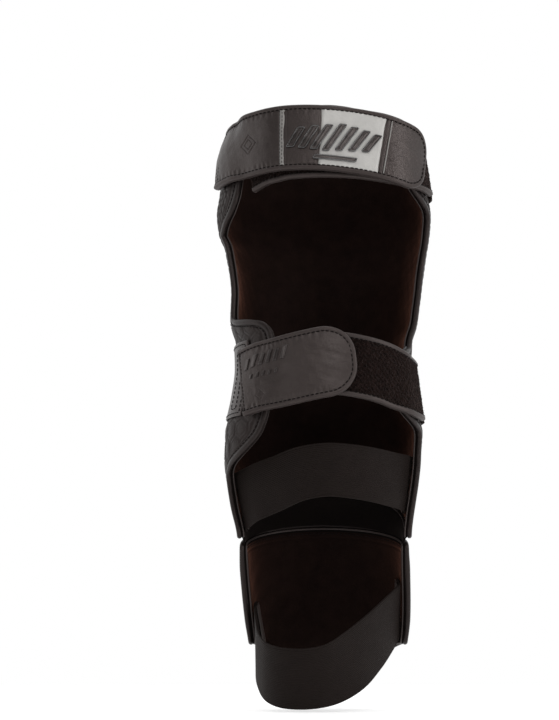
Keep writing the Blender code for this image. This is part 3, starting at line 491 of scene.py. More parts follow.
def fibres(surface, u, v, depth, count, length, radius, lean):
    """Short bent fibres standing on a surface between the ranges u and v (v is a share of a half-width)."""
    a = RANDOM.uniform(u[0], u[1], count)
    share = RANDOM.uniform(-1, 1, count)
    across = share * (v(a) if callable(v) else v)
    root, n = surface(a, across, np.full(count, depth))
    spin = RANDOM.uniform(0, 2 * math.pi, count)
    side = unit(np.cross(n, np.array([0.3, 0.2, 0.93])))
    other = np.cross(n, side)
    sway = side * np.cos(spin)[:, None] + other * np.sin(spin)[:, None]
    tall = RANDOM.uniform(0.5, 1.0, count)[:, None] * length
    mid = root + n * tall * 0.6 + sway * tall * lean * 0.35
    tip = root + n * tall * 0.8 + sway * tall * lean
    cross = np.cross(n, sway)
    rings = []
    for centre, r in ((root, radius), (mid, radius * 0.8), (tip, radius * 0.3)):
        for k in range(3):
            w = 2 * math.pi * k / 3
            rings.append(centre + (sway * math.cos(w) + cross * math.sin(w)) * r)
    points = np.stack(rings, 1)
    faces = (quads(3, 3, wrap=True)[None] + 9 * np.arange(count)[:, None, None]).reshape(-1, 4)
    return points.reshape(-1, 3), faces


# ---- Materials -------------------------------------------------------------------------------
WARM, NEUTRAL = (1.0, 0.84, 0.80), (1, 1, 1)  # tints of the reflection on black and on pale finishes
ROUGH_SPREAD = 0.06


def plain(name, **values):
    """A new material with a Principled BSDF, and values for its sockets."""
    mat = bpy.data.materials.new(name)
    mat.use_nodes = True
    shader = mat.node_tree.nodes["Principled BSDF"]
    for socket, value in values.items():
        shader.inputs[socket.replace("_", " ")].default_value = value
    return mat


def finish_of(name, colour, rough, spread=0.12, sheen=0.0, coat=0.0, metallic=0.0, grains=(), specular=0.5,
              patch=90.0, tint=WARM, sheen_tint=(1, 0.8, 0.75)):
    """A procedural finish. grains are (kind, cells per metre, strength, height in metres)."""
    mat = plain(name, Metallic=metallic, Specular_IOR_Level=specular, Specular_Tint=(*tint, 1),
                Sheen_Weight=sheen, Sheen_Tint=(*sheen_tint, 1), Sheen_Roughness=0.4, Coat_Weight=coat,
                Coat_Roughness=0.25)
    tree = mat.node_tree
    shader = tree.nodes["Principled BSDF"]
    where = tree.nodes.new("ShaderNodeTexCoord").outputs["Object"]

    def noise(scale, detail):
        made = tree.nodes.new("ShaderNodeTexNoise")
        made.inputs["Scale"].default_value = scale
        made.inputs["Detail"].default_value = detail
        tree.links.new(where, made.inputs["Vector"])
        return made.outputs["Fac"]

    wear = noise(patch, 4.0)
    shades = tree.nodes.new("ShaderNodeValToRGB")
    for stop, place, change in zip(shades.color_ramp.elements, (0.3, 0.7), (1 - spread, 1 + spread)):
        stop.position = place
        stop.color = (*[min(1.0, c * change) for c in colour], 1)
    tree.links.new(wear, shades.inputs["Fac"])
    tree.links.new(shades.outputs["Color"], shader.inputs["Base Color"])
    span = tree.nodes.new("ShaderNodeMapRange")
    span.inputs["To Min"].default_value = max(0.0, rough - ROUGH_SPREAD)
    span.inputs["To Max"].default_value = min(1.0, rough + ROUGH_SPREAD)
    tree.links.new(noise(patch * 6, 2.0), span.inputs["Value"])
    tree.links.new(span.outputs["Result"], shader.inputs["Roughness"])
    before = None
    for kind, scale, strength, height in grains:
        if kind == "cells":
            made = tree.nodes.new("ShaderNodeTexVoronoi")
            made.feature = "DISTANCE_TO_EDGE"
            made.inputs["Scale"].default_value = scale
            tree.links.new(where, made.inputs["Vector"])
            value = made.outputs["Distance"]
        elif kind in ("X", "Y", "Z"):
            made = tree.nodes.new("ShaderNodeTexWave")
            made.bands_direction = kind
            made.inputs["Scale"].default_value = scale
            made.inputs["Distortion"].default_value = 0.6
            tree.links.new(where, made.inputs["Vector"])
            value = made.outputs["Fac"]
        else:
            value = noise(scale, 3.0)
        bump = tree.nodes.new("ShaderNodeBump")
        bump.inputs["Strength"].default_value = strength
        bump.inputs["Distance"].default_value = height
        tree.links.new(value, bump.inputs["Height"])
        if before is not None:
            tree.links.new(before, bump.inputs["Normal"])
        before = bump.outputs["Normal"]
    if before is not None:
        tree.links.new(before, shader.inputs["Normal"])
    return mat


LEATHER_GRAIN = (("cells", 1300, 0.45, 0.0003), ("noise", 420, 0.35, 0.0006), ("noise", 90, 0.25, 0.0012))
THREAD_GRAIN = (("noise", 3000, 0.3, 0.0002),)
DEEP_BLACK = (0.0068, 0.0048, 0.0045)
# Each finish, by its short name: the slot that its pieces take, and its look.
FINISHES = {
    "leather": ("smooth_leather", finish_of(
        "black_leather", (0.0105, 0.0080, 0.0075), 0.38, specular=0.46, grains=LEATHER_GRAIN, coat=0.04)),
    "embossed": ("textured_leather", finish_of(
        "embossed_leather", DEEP_BLACK, 0.48, specular=0.25, grains=LEATHER_GRAIN)),
    "suede": ("suede_lining", finish_of(
        "brown_black_suede", (0.0040, 0.0019, 0.0015), 0.75, spread=0.35, sheen=0.55, specular=0.05,
        sheen_tint=(0.50, 0.22, 0.15), grains=(("noise", 1700, 0.4, 0.0005), ("noise", 260, 0.25, 0.0008)))),
    "foam": ("foam", finish_of(
        "closed_cell_foam", (0.09, 0.09, 0.095), 0.9, grains=(("cells", 900, 0.5, 0.0005),), tint=NEUTRAL)),
    "knit": ("neoprene", finish_of(
        "knitted_padding", (0.009, 0.0070, 0.0065), 0.9, sheen=0.03, specular=0.12,
        grains=(("X", 420, 0.3, 0.0003), ("Z", 420, 0.3, 0.0003)))),
    "tape": ("edge_tape", finish_of(
        "satin_edge_tape", (0.0190, 0.0150, 0.0142), 0.45, sheen=0.05, specular=0.34,
        grains=(("Z", 700, 0.12, 0.0002), ("noise", 900, 0.3, 0.0003)))),
    "rim": ("edge_tape", finish_of(
        "pad_edge_leather", DEEP_BLACK, 0.38, specular=0.23, grains=LEATHER_GRAIN, coat=0.04)),
    # painted shade: a near-black matte finish for the core behind a pad's rolled edge, standing for the shade
    # in the gaps beside the roll
    "painted_gap_shade": ("edge_tape", finish_of(
        "shaded_seam", (0.0025, 0.0018, 0.0016), 0.9, specular=0.05, grains=(("noise", 900, 0.3, 0.0003),))),
    "thread": ("edge_tape", finish_of(
        "black_thread", (0.0020, 0.0015, 0.0015), 0.7, specular=0.10, grains=THREAD_GRAIN)),
    "pale_thread": ("grey_tape", finish_of(
        "grey_thread", (0.16, 0.155, 0.15), 0.7, grains=THREAD_GRAIN, tint=NEUTRAL)),
    "pile": ("loop_pile", finish_of(
        "loop_pile", (0.0075, 0.0042, 0.0036), 1.0, spread=0.85, sheen=0.08, specular=0.06,
        grains=(("noise", 1500, 0.8, 0.001), ("noise", 520, 1.0, 0.002)), patch=420.0)),
    "hook": ("hook_tape", finish_of(
        "hook_tape", (0.008, 0.0070, 0.0065), 0.6, specular=0.25, grains=(("cells", 1500, 0.6, 0.0006),))),
    "elastic": ("elastic", finish_of(
        "woven_elastic", (0.0062, 0.0044, 0.0038), 0.60, sheen=0.02, specular=0.10,
        grains=(("X", 560, 0.35, 0.0003), ("noise", 1500, 0.25, 0.0003)))),
    "stretch": ("stretch_panel", finish_of(
        "stretch_knit", (0.0030, 0.0022, 0.0020), 0.85, sheen=0.04, specular=0.08,
        grains=(("Z", 500, 0.3, 0.0003), ("X", 500, 0.2, 0.0003)))),
    "silver": ("silver_leather", finish_of(
        "silver_leather", (0.36, 0.35, 0.335), 0.46, spread=0.07, metallic=0.1, tint=NEUTRAL,
        grains=(("cells", 1500, 0.4, 0.0003), ("noise", 500, 0.3, 0.0004)))),
    "grey": ("grey_tape", finish_of(
        "grey_tape", (0.20, 0.19, 0.18), 0.7, tint=NEUTRAL, grains=(("Z", 900, 0.3, 0.0002),))),
    "moulded": ("moulded_rubber", finish_of(
        "moulded_rubber", (0.0036, 0.0028, 0.0027), 0.32, spread=0.05, coat=0.25,
        grains=(("noise", 700, 0.08, 0.0002),))),
    "outline": ("moulded_rubber", finish_of(
        "moulded_outline", (0.012, 0.0105, 0.010), 0.22, spread=0.1, coat=0.8, tint=NEUTRAL,
        grains=(("noise", 900, 0.1, 0.0002),))),
}
SKINS = {skin: finish for skin, (_, finish) in FINISHES.items()}


# ---- Padded covers: a cloth simulation on a coarse copy, given back to the fine mesh ----------
VOXEL, PRESSURE, STEPS, NEIGHBOURS = 5.0, 4.0, 20, 6


def inflate(obj, looseness, cap):
    """Swells a padded piece. looseness(points) is 0 where it is sewn down and 1 where it moves freely."""
    scene = bpy.context.scene
    copy = obj.copy()
    copy.data = obj.data.copy()
    copy.parent = None
    scene.collection.objects.link(copy)
    remesh = copy.modifiers.new("remesh", "REMESH")
    remesh.mode, remesh.voxel_size = "VOXEL", VOXEL * MM
    coarse = bpy.data.meshes.new_from_object(copy.evaluated_get(bpy.context.evaluated_depsgraph_get()))
    copy.modifiers.clear()
    copy.data = coarse
    rest = np.array([v.co for v in coarse.vertices])
    cloth = copy.modifiers.new("cloth", "CLOTH")
    cloth.settings.use_pressure = True
    cloth.settings.uniform_pressure_force = PRESSURE
    cloth.settings.effector_weights.gravity = 0
    cloth.settings.quality = 5
    for number in range(1, STEPS + 1):
        scene.frame_set(number)
    swollen = copy.evaluated_get(bpy.context.evaluated_depsgraph_get()).to_mesh()
    moved = np.array([v.co for v in swollen.vertices]) - rest
    bpy.data.objects.remove(copy)
    scene.frame_set(1)
    far = np.linalg.norm(moved, axis=1, keepdims=True)
    moved *= np.minimum(1, cap * MM / np.maximum(far, 1e-9))
    tree = kdtree.KDTree(len(rest))
    for i, co in enumerate(rest):
        tree.insert(co, i)
    tree.balance()
    mesh = obj.data
    fine = np.array([v.co for v in mesh.vertices])
    normals = np.array([v.normal for v in mesh.vertices])
    shift = np.zeros_like(fine)
    for i, co in enumerate(fine):
        near = tree.find_n(co, NEIGHBOURS)
        weights = np.array([1 / (d * d + (VOXEL * MM / 2) ** 2) for _, _, d in near])
        shift[i] = (moved[[k for _, k, _ in near]] * weights[:, None]).sum(0) / weights.sum()
    lift = np.clip((shift * normals).sum(1), 0, None)
    fine += normals * (lift * looseness(fine / MM))[:, None]
    mesh.vertices.foreach_set("co", fine.astype(np.float32).ravel())
    mesh.update()


def grid(first, second):
    return np.meshgrid(first, second, indexing="ij")


# ---- The shin pad ----------------------------------------------------------------------------
def rows_of_pad(step):
    return np.linspace(FIRST_ROW, LAST_ROW, int((LAST_ROW - FIRST_ROW) / step))


def from_rim(angle, row, height):
    """How far, in millimetres, a point on a wing is from the pad's rim, roughly."""
    rim = np.where(angle < 0, along(LEFT_RIM, row), along(RIGHT_RIM, row))
    return np.minimum((rim - np.abs(angle)) * 1.25, from_ends(angle, height))


def from_ends(angle, height):
    return np.minimum(height - pad_bottom(angle), pad_top(angle) - height)


def turn_of(p):
    """Degrees round the shin pad from the front."""
    return np.degrees(np.arctan2(p[:, 0], p[:, 1] - SECTION_CENTRE_Y))


def wing(side, name):
    """A wing's cover, embossed with a small honeycomb above and a large one below."""
    row, share = grid(rows_of_pad(1.1), np.linspace(0, 1, 84))
    rim, start = along(LEFT_RIM if side < 0 else RIGHT_RIM, row), FRONT_EDGE + WING_GAP
    angle = side * (start + (rim - start) * share)
    height = row_height(row, angle)
    edge = from_rim(angle, row, height)
    x, y = np.radians(np.abs(angle)) * 70, height
    small = groove(hexagon_edge(x, y, SMALL_CELL), 1.4)
    deep = hexagon_edge(x + 3, y, LARGE_CELL)
    large = groove(deep, 1.7) + 0.5 * groove(deep - 3.4, 1.0)
    upper = ramp((height - CELL_CHANGE) / 30)
    comb = upper * 0.95 * small + (1 - upper) * large
    inside = ramp((edge - 8.5) / 2.5)
    relief = (-comb * inside - 0.8 * groove(edge - 7.0, 1.5) + 0.25 * inside
              + 0.35 * ripple(x, y, 46, side) * ramp(edge / 10))
    thick = pad_thickness(angle, height)
    points, faces = pillow(pad_point, angle, height, thick - SKIN, thick, 1.2, relief)
    return put(f"{name}_wing_pad", points, faces, "embossed", "shin_pad", [f"{name}_wing_cover"])


def front_ripple(angle, height):
    return 0.3 * ripple(angle * 1.3, height, 60, 1.0)


def make_front_pad():
    """The cover between the wings, with a seam at each side of the bar."""
    row, angle = grid(rows_of_pad(1.3), np.linspace(-FRONT_EDGE, FRONT_EDGE, 120))
    height = row_height(row, angle)
    thick = pad_thickness(angle, height)
    ends = from_ends(angle, height)
    channel = groove((np.abs(angle) - FRONT_SEAM) * 1.35, 3.4) * ramp((ends - 14) / 8)
    relief = -1.5 * channel - 0.9 * groove(ends - 9, 3.0) + front_ripple(angle, height)
    points, faces = pillow(pad_point, angle, height, thick - SKIN, thick, 1.4, relief)
    front = put("shin_front_pad", points, faces, "leather", "shin_pad", ["shin_front_cover"])

    def free_of_seams(p):
        turn = np.abs(turn_of(p))
        near = np.minimum(np.abs(turn - FRONT_SEAM) * 1.3, (FRONT_EDGE - 4 - turn) * 1.3)
        return ramp(near / 9) * ramp((p[:, 2] - 200) / 20) * ramp((530 - p[:, 2]) / 20)

    inflate(front, free_of_seams, cap=2.2)
    down = np.linspace(215, 505, 200)
    runs = []
    for turn in (-FRONT_SEAM, FRONT_SEAM):
        level = row_height(down, turn)
        rise = pad_thickness(turn, level) - 1.5 + front_ripple(turn, level)
        runs.append(stitches(*pad_point(turn, level, rise + 0.2)))
    put("front_channel_stitches", *joined(runs), "thread", "shin_pad")


def bar_ripple(angle, height):
    return 0.2 * ripple(angle * 1.4, height, 40, 2.0)


def make_shin_bar():
    """The raised bar down the shin, with sewn channels across it."""
    row, angle = grid(np.linspace(RIDGE_LOW, RIDGE_HIGH, 190), np.linspace(-RIDGE_EDGE, RIDGE_EDGE, 74))
    height = row_height(row, angle)
    side_ramp = ramp((RIDGE_EDGE - np.abs(angle)) / 13)
    top = row_height(np.full_like(row, RIDGE_HIGH), angle)
    on_foam = side_ramp * ramp(np.minimum(height - RIDGE_LOW - 1, top - height) / 17)
    base = pad_thickness(angle, height) + GAP
    levels = [FIRST_CHANNEL + CHANNEL_PITCH * k for k in range(CHANNELS)]
    sewn = sum(groove(height - level - CHANNEL_BOW * np.abs(angle), 3.2) for level in levels)
    relief = -CHANNEL_DEEP * sewn * on_foam + bar_ripple(angle, height)
    points, faces = pillow(pad_point, angle, height, base - 0.2, base + SKIN + RIDGE_THICK * on_foam, 1.0,
                           relief)
    bar = put("shin_bar_pad", points, faces, "leather", "shin_pad", ["ridge_cover", "ridge_foam"])

    def free_of_bar_seams(p):
        near = np.min([np.abs(p[:, 2] - level) for level in levels], axis=0)
        return ramp((RIDGE_EDGE - 9 - np.abs(turn_of(p))) / 9) * ramp(near / 12) * ramp((p[:, 2] - 235) / 12)

    inflate(bar, free_of_bar_seams, cap=1.6)
    turn = np.linspace(-RIDGE_EDGE + 13, RIDGE_EDGE - 13, 80)
    runs = []
    for level in levels:
        level = level + CHANNEL_BOW * np.abs(turn)
        rise = pad_thickness(turn, level) + GAP + SKIN + RIDGE_THICK - CHANNEL_DEEP + bar_ripple(turn, level)
        runs.append(stitches(*pad_point(turn, level, rise + 0.15)))
    put("bar_channel_stitches", *joined(runs), "thread", "shin_pad")


def make_shin_pad():
    make_front_pad()
    for side, name in ((-1, "left"), (1, "right")):
        obj = wing(side, name)
    make_shin_bar()
    make_lining()
    make_rim()
    make_anchors()


def make_lining():
    """The pad's inside: sewn down along the rim, and hollowed a little over the shin."""
    row, share = grid(rows_of_pad(1.8), np.linspace(-1, 1, 200))
    angle = np.where(share < 0, share * along(LEFT_RIM, row), share * along(RIGHT_RIM, row))
    height = row_height(row, angle)
    edge = from_rim(angle, row, height)
    calm = ramp((edge - 9) / 10)
    x = np.radians(angle) * 62
    shin_hollow = ramp((58 - np.abs(angle)) / 12) * ramp((height - 215) / 20)
    under = (0.55 * groove(edge - 7.5, 1.8) - calm * shin_hollow
             + calm * 0.35 * ripple(x, height, 34, 0.4) + 0.12 * ripple(x, height, 9, 1.4) * calm)
    points, faces = pillow(pad_point, angle, height, 0.0, SKIN, 0.8, 0.0, under)
    obj = put("shin_lining", points, faces, "suede", "shin_pad", ["shin_liner"])


def rim_of_pad():
    """The line round the whole shin pad: angles and rows."""
    rows = np.linspace(FIRST_ROW, LAST_ROW, 420)
    left, right = along(LEFT_RIM, rows), along(RIGHT_RIM, rows)
    across = np.linspace(-1, 1, 160)
    low = np.where(across < 0, across * left[0], across * right[0])
    high = np.where(across < 0, across * left[-1], across * right[-1])
    angle = np.concatenate([low, right[1:], high[-2::-1], -left[-2:0:-1]])
    row = np.concatenate([np.full(len(low), FIRST_ROW), rows[1:], np.full(len(high) - 1, LAST_ROW),
                          rows[-2:0:-1]])
    return angle, row


def edge_ring(name, surface, angle, level, thickness, body, stands, hand):
    """A pad's rolled edge, a near-black core behind it painted as the shade in the gaps, the lining's piping,
    and the stitches on both sides.
    """
    thick = thickness(angle, level)
    p, n = surface(angle, level, thick / 2)
    p, n, thick = even(1.6, p, n, thick, closed=True)
    p, n = smoothed(p, 4, True), unit(smoothed(n, 4, True))
    thick = smoothed(thick[:, None], 4, True)[:, 0]
    ahead = unit(np.roll(p, -1, 0) - np.roll(p, 1, 0))
    out = hand * unit(np.cross(n, ahead))
    out = unit(smoothed(out, 3, True))
    half = thick / 2
    # painted shade: the core's near-black colour stands for the shade in the gaps beside the roll and the
    # piping
    core = bead(p + out * 0.4, n, out, 2.3, half + 0.35, power=2.6, count=20, closed=True)
    put(f"{name}_edge_painted_shade", *core, "painted_gap_shade", body)
    roll = bead(p + out * 1.1 + n * 1.45, n, out, 2.6, half - 0.45, power=2.3, count=20, closed=True)
    put(f"{name}_edge_roll", *roll, "rim", body, stands)
    cord = bead(p + out * 1.9 - n * (half - 0.1)[:, None], n, out, 0.75, 0.75, power=2, count=10, closed=True)
    put(f"{name}_lining_piping", *cord, "tape", body)
    runs = [stitches(p - out * 2.6 + n * side * (half + 0.15)[:, None], n * side, closed=True)
            for side in (1, -1)]
    put(f"{name}_edge_stitches", *joined(runs), "thread", body)


def make_rim():
    angle, row = rim_of_pad()
    edge_ring("shin_pad", pad_point, angle, row_height(row, angle), pad_thickness, "shin_pad",
              ["shin_edge_binding"], 1)


def panel_on_pad(name, outline, thick, skin, stands, count=(60, 60)):
    start, stop, bottom, top = outline
    height, angle = grid(np.linspace(bottom, top, count[0]), np.linspace(start, stop, count[1]))
    base = pad_thickness(angle, height) + PANEL_RISE
    put(name, *pillow(pad_point, angle, height, base, base + thick, 0.8), skin, "shin_pad", stands)


def box_in(outline, across=0, up=0):
    """A closed path of (angle, height) corners inside an outline."""
    start, stop, low, high = outline[0] + across, outline[1] - across, outline[2] + up, outline[3] - up
    return [(start, low), (stop, low), (stop, high), (start, high), (start, low)]


def sewn_on_pad(corners, rise):
    """Stitches on the pad's outside along a path through (angle, height) corners."""
    corners = np.array(corners, float)
    share = np.linspace(0, len(corners) - 1, 60 * (len(corners) - 1))
    angle, height = (np.interp(share, np.arange(len(corners)), column) for column in corners.T)
    return stitches(*pad_point(angle, height, pad_thickness(angle, height) + rise))


def make_anchors():
    for name, outline in LOOP_ANCHORS.items():
        panel_on_pad(f"{name}_pile", outline, 3.0, "pile", [name])
        box = box_in(outline, 2, 3)
        put(f"{name}_stitches", *sewn_on_pad(box + box[2:3], PANEL_RISE + 3.2), "thread", "shin_pad")
    panel_on_pad("mid_root_leather", MID_ROOT, 1.4, "leather", ["mid_root_panel"], count=(70, 90))
    runs = [sewn_on_pad(box, PANEL_RISE + 1.6) for box in (box_in(MID_ROOT, 3, 3), box_in(MID_ROOT_BOX))]
    put("mid_root_stitches", *joined(runs), "thread", "shin_pad")


# ---- The instep pad --------------------------------------------------------------------------
def instep_way(share, angle):
    return instep_top(angle) + share * (instep_end(angle) - instep_top(angle))


def make_instep():
    share, angle = grid(np.linspace(0, 1, 130), np.linspace(-INSTEP_REACH, INSTEP_REACH, 150))
    way = instep_way(share, angle)
    thick = instep_thickness(angle, way)
    ends = np.minimum(way - instep_top(angle), instep_end(angle) - way)
    seam = np.minimum(ends, (INSTEP_REACH - np.abs(angle)) * 1.05)
    beside_bar = groove((np.abs(angle) - INSTEP_SEAM) * 0.9, 3) * ramp((ends - 10) / 8)
    relief = -0.7 * groove(seam - 7, 2.2) - 1.2 * beside_bar + 0.3 * ripple(angle, way, 40, 3.0)
    points, faces = pillow(instep_point, angle, way, thick - SKIN, thick, 1.2, relief)
    shell = put("instep_outer_pad", points, faces, "leather", "instep_pad", ["instep_cover"])

    def free_part(p):
        turn = np.abs(np.degrees(np.arctan2(p[:, 0], (p - ANKLE) @ OFF_FOOT - INSTEP_BASE)))
        down = (p - ANKLE) @ DOWN_FOOT
        beside = ramp((turn - INSTEP_SEAM - 4) / 10) * ramp((INSTEP_REACH - 10 - turn) / 12)
        return beside * ramp((down - 22) / 10) * ramp((96 - down) / 10)

    inflate(shell, free_part, cap=1.8)
    under = 0.5 * groove(seam - 7, 1.8) + ramp((seam - 9) / 8) * 0.3 * ripple(angle, way, 26, 0.7)
    points, faces = pillow(instep_point, angle, way, 0.0, SKIN, 0.8, 0.0, under)
    inner = put("instep_lining", points, faces, "suede", "instep_pad", ["instep_liner"])
    make_instep_bar()
    top, side = np.linspace(-INSTEP_REACH, INSTEP_REACH, 160), np.full(100, float(INSTEP_REACH))
    angle = np.concatenate([top, side, np.linspace(INSTEP_REACH, -INSTEP_REACH, 200)[1:], -side[1:]])
    share = np.concatenate([np.zeros(160), np.linspace(0, 1, 101)[1:], np.ones(199),
                            np.linspace(1, 0, 101)[1:-1]])
    edge_ring("instep_pad", instep_point, angle, instep_way(share, angle), instep_thickness, "instep_pad",
              ["instep_edge_binding"], -1)


def make_instep_bar():
    low, high = INSTEP_BAR
    share, angle = grid(np.linspace(low, high, 90), np.linspace(-INSTEP_BAR_EDGE, INSTEP_BAR_EDGE, 60))
    way = instep_way(share, angle)
    base = instep_thickness(angle, way) + GAP
    full = ramp((INSTEP_BAR_EDGE - np.abs(angle)) / 12) * ramp(np.minimum(share - low, high - share) / 0.09)
    relief = -1.6 * sum(groove((share - place) * 110, 3) for place in INSTEP_CHANNELS) * full
    points, faces = pillow(instep_point, angle, way, base - 0.2, base + 0.8 + 4.2 * full, 0.8, relief)
    bar = put("instep_bar_pad", points, faces, "leather", "instep_pad", ["instep_ridge_pad"])


def make_gusset():
    """The stretch panel between the two pads: ribbed, and drawn in a little at the middle."""
    share, angle = grid(np.linspace(0, 1, 40), np.linspace(-90, 90, 170))

    def surface(angle, share, depth):
        upper, n = pad_point(angle, pad_bottom(angle) - 1.5, depth)
        lower, m = instep_point(angle, instep_top(angle) - 1.5, depth)
        share = share[..., None]
        sag = np.sin(math.pi * share) * -1.6 * n
        return upper * (1 - share) + lower * share + sag, unit(n * (1 - share) + m * share)

    ribs = 0.22 * np.sin(np.radians(angle) * 70 * 2 * math.pi / 2.6)
    points, faces = pillow(surface, angle, share, 1.6, 3.4, 0.6, ribs)
    obj = put("ankle_stretch_panel", points, faces, "stretch", None, ["ankle_gusset"])
    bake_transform(obj)


# ---- Straps' pieces --------------------------------------------------------------------------
def strap_skin(name, band, start, end, half, low, high, skin, body, stands=(), corner=0.0, relief=None,
               edge=1.0, columns=44, under=None, step=1.6):
    """One layer of a strap, between two depths."""
    ways, halves = band.rows(start, end, half, corner, step)
    way, share = grid(ways, np.linspace(-1, 1, columns))
    across = share * halves[:, None]
    extra = relief(way, across) if relief else 0.0
    inner = under(way, across) if under else 0.0
    obj = put(name, *pillow(band.at, way, across, low, high, edge, extra, inner), skin, body, stands)
    return obj


def outwards(band, points, normals, at, side):
    """The way out of a strap's edge. At one point of it, that is to the given side of the strap."""
    out = unit(np.cross(normals, unit(np.gradient(points, axis=0))))
    return -out if side * (out[at] @ band.up[len(band.up) // 2]) < 0 else out


def strap_edge(band, start, end, half, corner):
    """The outline of a strap where its layers end: points, normals and the way outwards."""
    ways, halves = band.rows(start, end, half, corner)
    tip = np.linspace(halves[-1], -halves[-1], 24)[1:-1]
    way = np.concatenate([ways, np.full(len(tip), ways[-1]), ways[::-1]])
    across = np.concatenate([halves, tip, -halves[::-1]])
    points, normals = even(1.5, *band.at(way, across, 0.0))
    points, normals = smoothed(points, 2, False), unit(normals)
    return points, normals, outwards(band, points, normals, len(points) // 8, 1)


def straight_edge(band, start, end, half, side):
    ways = np.linspace(start, end, max(4, int((end - start) / 1.5)))
    reach = half(ways / band.length) if callable(half) else half
    points, normals = band.at(ways, side * reach, 0.0)
    return points, normals, outwards(band, points, normals, len(ways) // 2, side)


def strap_tape(name, body, edge, high, stands):
    """Folded tape on a strap's edge, up to a height over it, and the stitches that hold it."""
    points, normals, out = edge
    mid, thick, wide = (UNDER_TAPE + high) / 2, (high - UNDER_TAPE) / 2, (TAPE_IN + TAPE_OUT) / 2
    centre = points + normals * mid + out * (TAPE_OUT - wide)
    put(name, *bead(centre, normals, out, wide, thick, power=2.7, count=20), "tape", body, stands)
    runs = []
    for side in (1, -1):
        line = points - out * (TAPE_IN - 0.75) + normals * (mid + side * (thick * 0.93 + 0.05))
        runs.append(stitches(line, normals * side, **TAPE_STITCH))
    put(f"{name}_stitches", *joined(runs), "thread", body)


def soft_face(half, size=34.0, lift=0.5, phase=0.0):
    """The relief of a soft strap: crowned, rippled, and puckered beside its tape."""
    def relief(way, across):
        inside = np.clip(1 - (across / half) ** 2, 0, 1)
        pucker = 0.16 * np.sin(way * 2 * math.pi / 5.2 + 2 * ripple(way, across, 30, phase))
        pucker = pucker * groove(half - np.abs(across) - 3, 4.5)
        return lift * inside**0.6 + (0.30 * ripple(way, across * 1.6, size, phase)
                                     + 0.10 * ripple(way, across, 9, phase)) * inside + pucker
    return relief


def diamond(way, across, at_way, at_across, size, wide=0.9):
    return groove(np.abs(way - at_way) + np.abs(across - at_across) - size, wide)


def strap_path(seats, half, rise, path, bows=False):
    return Band([seat(pad_point, a, h, half, on_cover(rise), bows) for a, h in seats] + free(path))


UPPER = strap_path(UPPER_STRAP_SEAT, UPPER_HALF - SEAT_HALF_IN, SEAT_RISE, UPPER_STRAP, True)
FLAP = strap_path(MID_FLAP_SEAT, MID_HALF - SEAT_HALF_IN, FLAP_RISE, MID_FLAP)
UPPER_UNDER = strap_path(UPPER_LOOP_SEAT, LOOP_SEAT_HALF, SEAT_RISE, UPPER_LOOP, True)
MID_UNDER = strap_path(MID_LOOP_SEAT, LOOP_SEAT_HALF, SEAT_RISE, MID_LOOP)
STACK = LINING + GAP + FACE  # a strap's thickness


def cross_seam(name, band, way, half, depth, body, skin="thread", lift=None):
    across = np.linspace(-half, half, 40)
    points, normals = band.at(way, across, depth + (lift(way, across) if lift else 0))
    put(name, *stitches(points, normals, **SEAM_STITCH), skin, body)


def leather_strap(prefix, band, start, end, half, corner, body, relief, edge=0.5, columns=110, step=0.5):
    """A strap's padding, leather and edge tape. Without a rounded end it has a tape on each long edge."""
    knit = soft_face(half, 20.0, 0.2, 2.0)
    strap_skin(f"{prefix}_padding", band, start, end, half, 0.2, LINING, "knit", body, [f"{prefix}_lining"],
               corner=corner, under=lambda w, x: -knit(w, x) * 0.5)
    strap_skin(f"{prefix}_leather", band, start, end + 0.4 * bool(corner), half + 0.4, LINING + 0.1, STACK,
               "leather", body, [f"{prefix}_face"], corner=corner, relief=relief, edge=edge, columns=columns,
               step=step)
    edges = {"": strap_edge(band, start, end, half, corner)} if corner else long_edges(band, start, end, half)
    for word, line in edges.items():
        strap_tape(f"{prefix}{word}_tape", body, line, STACK + OVER_TAPE, [f"{prefix}{word}_binding"])


def long_edges(band, start, end, half):
    sides = (("_top", 1), ("_bottom", -1))
    return {word: straight_edge(band, start, end, half, side) for word, side in sides}


def make_upper_strap():
    """The upper strap in two lengths. The root's layers cross the fold."""
    half, end, corner = UPPER_HALF - INSET, UPPER.length - INSET, UPPER_CORNER - INSET
    fold = UPPER.way_at_x(FOLD_X)
    mark = UPPER.way_at_x(MARK_X)
    bend_start, bend_end = (UPPER.at(fold + way, 0, STACK)[0] * MM for way in FOLD_BEND)
    root, body = "upper_strap_root", "upper_strap_tip"
    bending = root, body, tuple(bend_start), tuple(bend_end)
    seam = fold + FOLD_BEND[1]
    soft = soft_face(half)

    def root_relief(way, across):
        ring = diamond(way, across, mark, 0, 8.5) + diamond(way, across, mark, 0, 4.5)
        return soft(way, across) - 0.8 * ring

    leather_strap("upper_root", UPPER, 1, seam, half, 0.0, bending, root_relief, edge=0.35)
    for k, way in enumerate((4.5, 8.5)):
        cross_seam(f"upper_root_sewing_{k}", UPPER, way, half - 2, STACK + 0.35, root)
    leather_strap("upper_tip", UPPER, seam + 0.1, end, half, corner, body, soft, columns=60, step=1.6)
    hooks(UPPER, "upper", end - 78, end - 9, half - 5, body, ["upper_hook_panel"])
    top = STACK - 0.35
    for name, first, last, skin, node, rise in PATCH:
        strap_skin(name, UPPER, fold + first, fold + last, half - 0.3, top, top + rise + 0.1, skin, body,
                   [node], relief=soft, edge=0.45, columns=50)
    cross_seam("patch_strip_sewing", UPPER, fold + 3.3, half - 2, top + 1.05, body, lift=soft)
    cross_seam("patch_strip_pale_sewing", UPPER, fold + 1.6, half - 2, top + 1.0, body, "pale_thread", soft)
    across = np.linspace(-half + 1.2, half - 1.2, 60)
    piping, lift = fold + PATCH[-1][2] + 0.4, soft(np.full(60, fold + PATCH[-1][2] + 0.2), across)
    points, normals = UPPER.at(piping, across, STACK + lift)
    out = unit(UPPER.at(piping + 1, across, STACK + lift)[0] - points)
    put("patch_pale_piping", *bead(points, normals, out, 0.55, 0.6, power=2, count=10), "grey", body)
    make_emblem(fold, top + 0.8, soft, body)


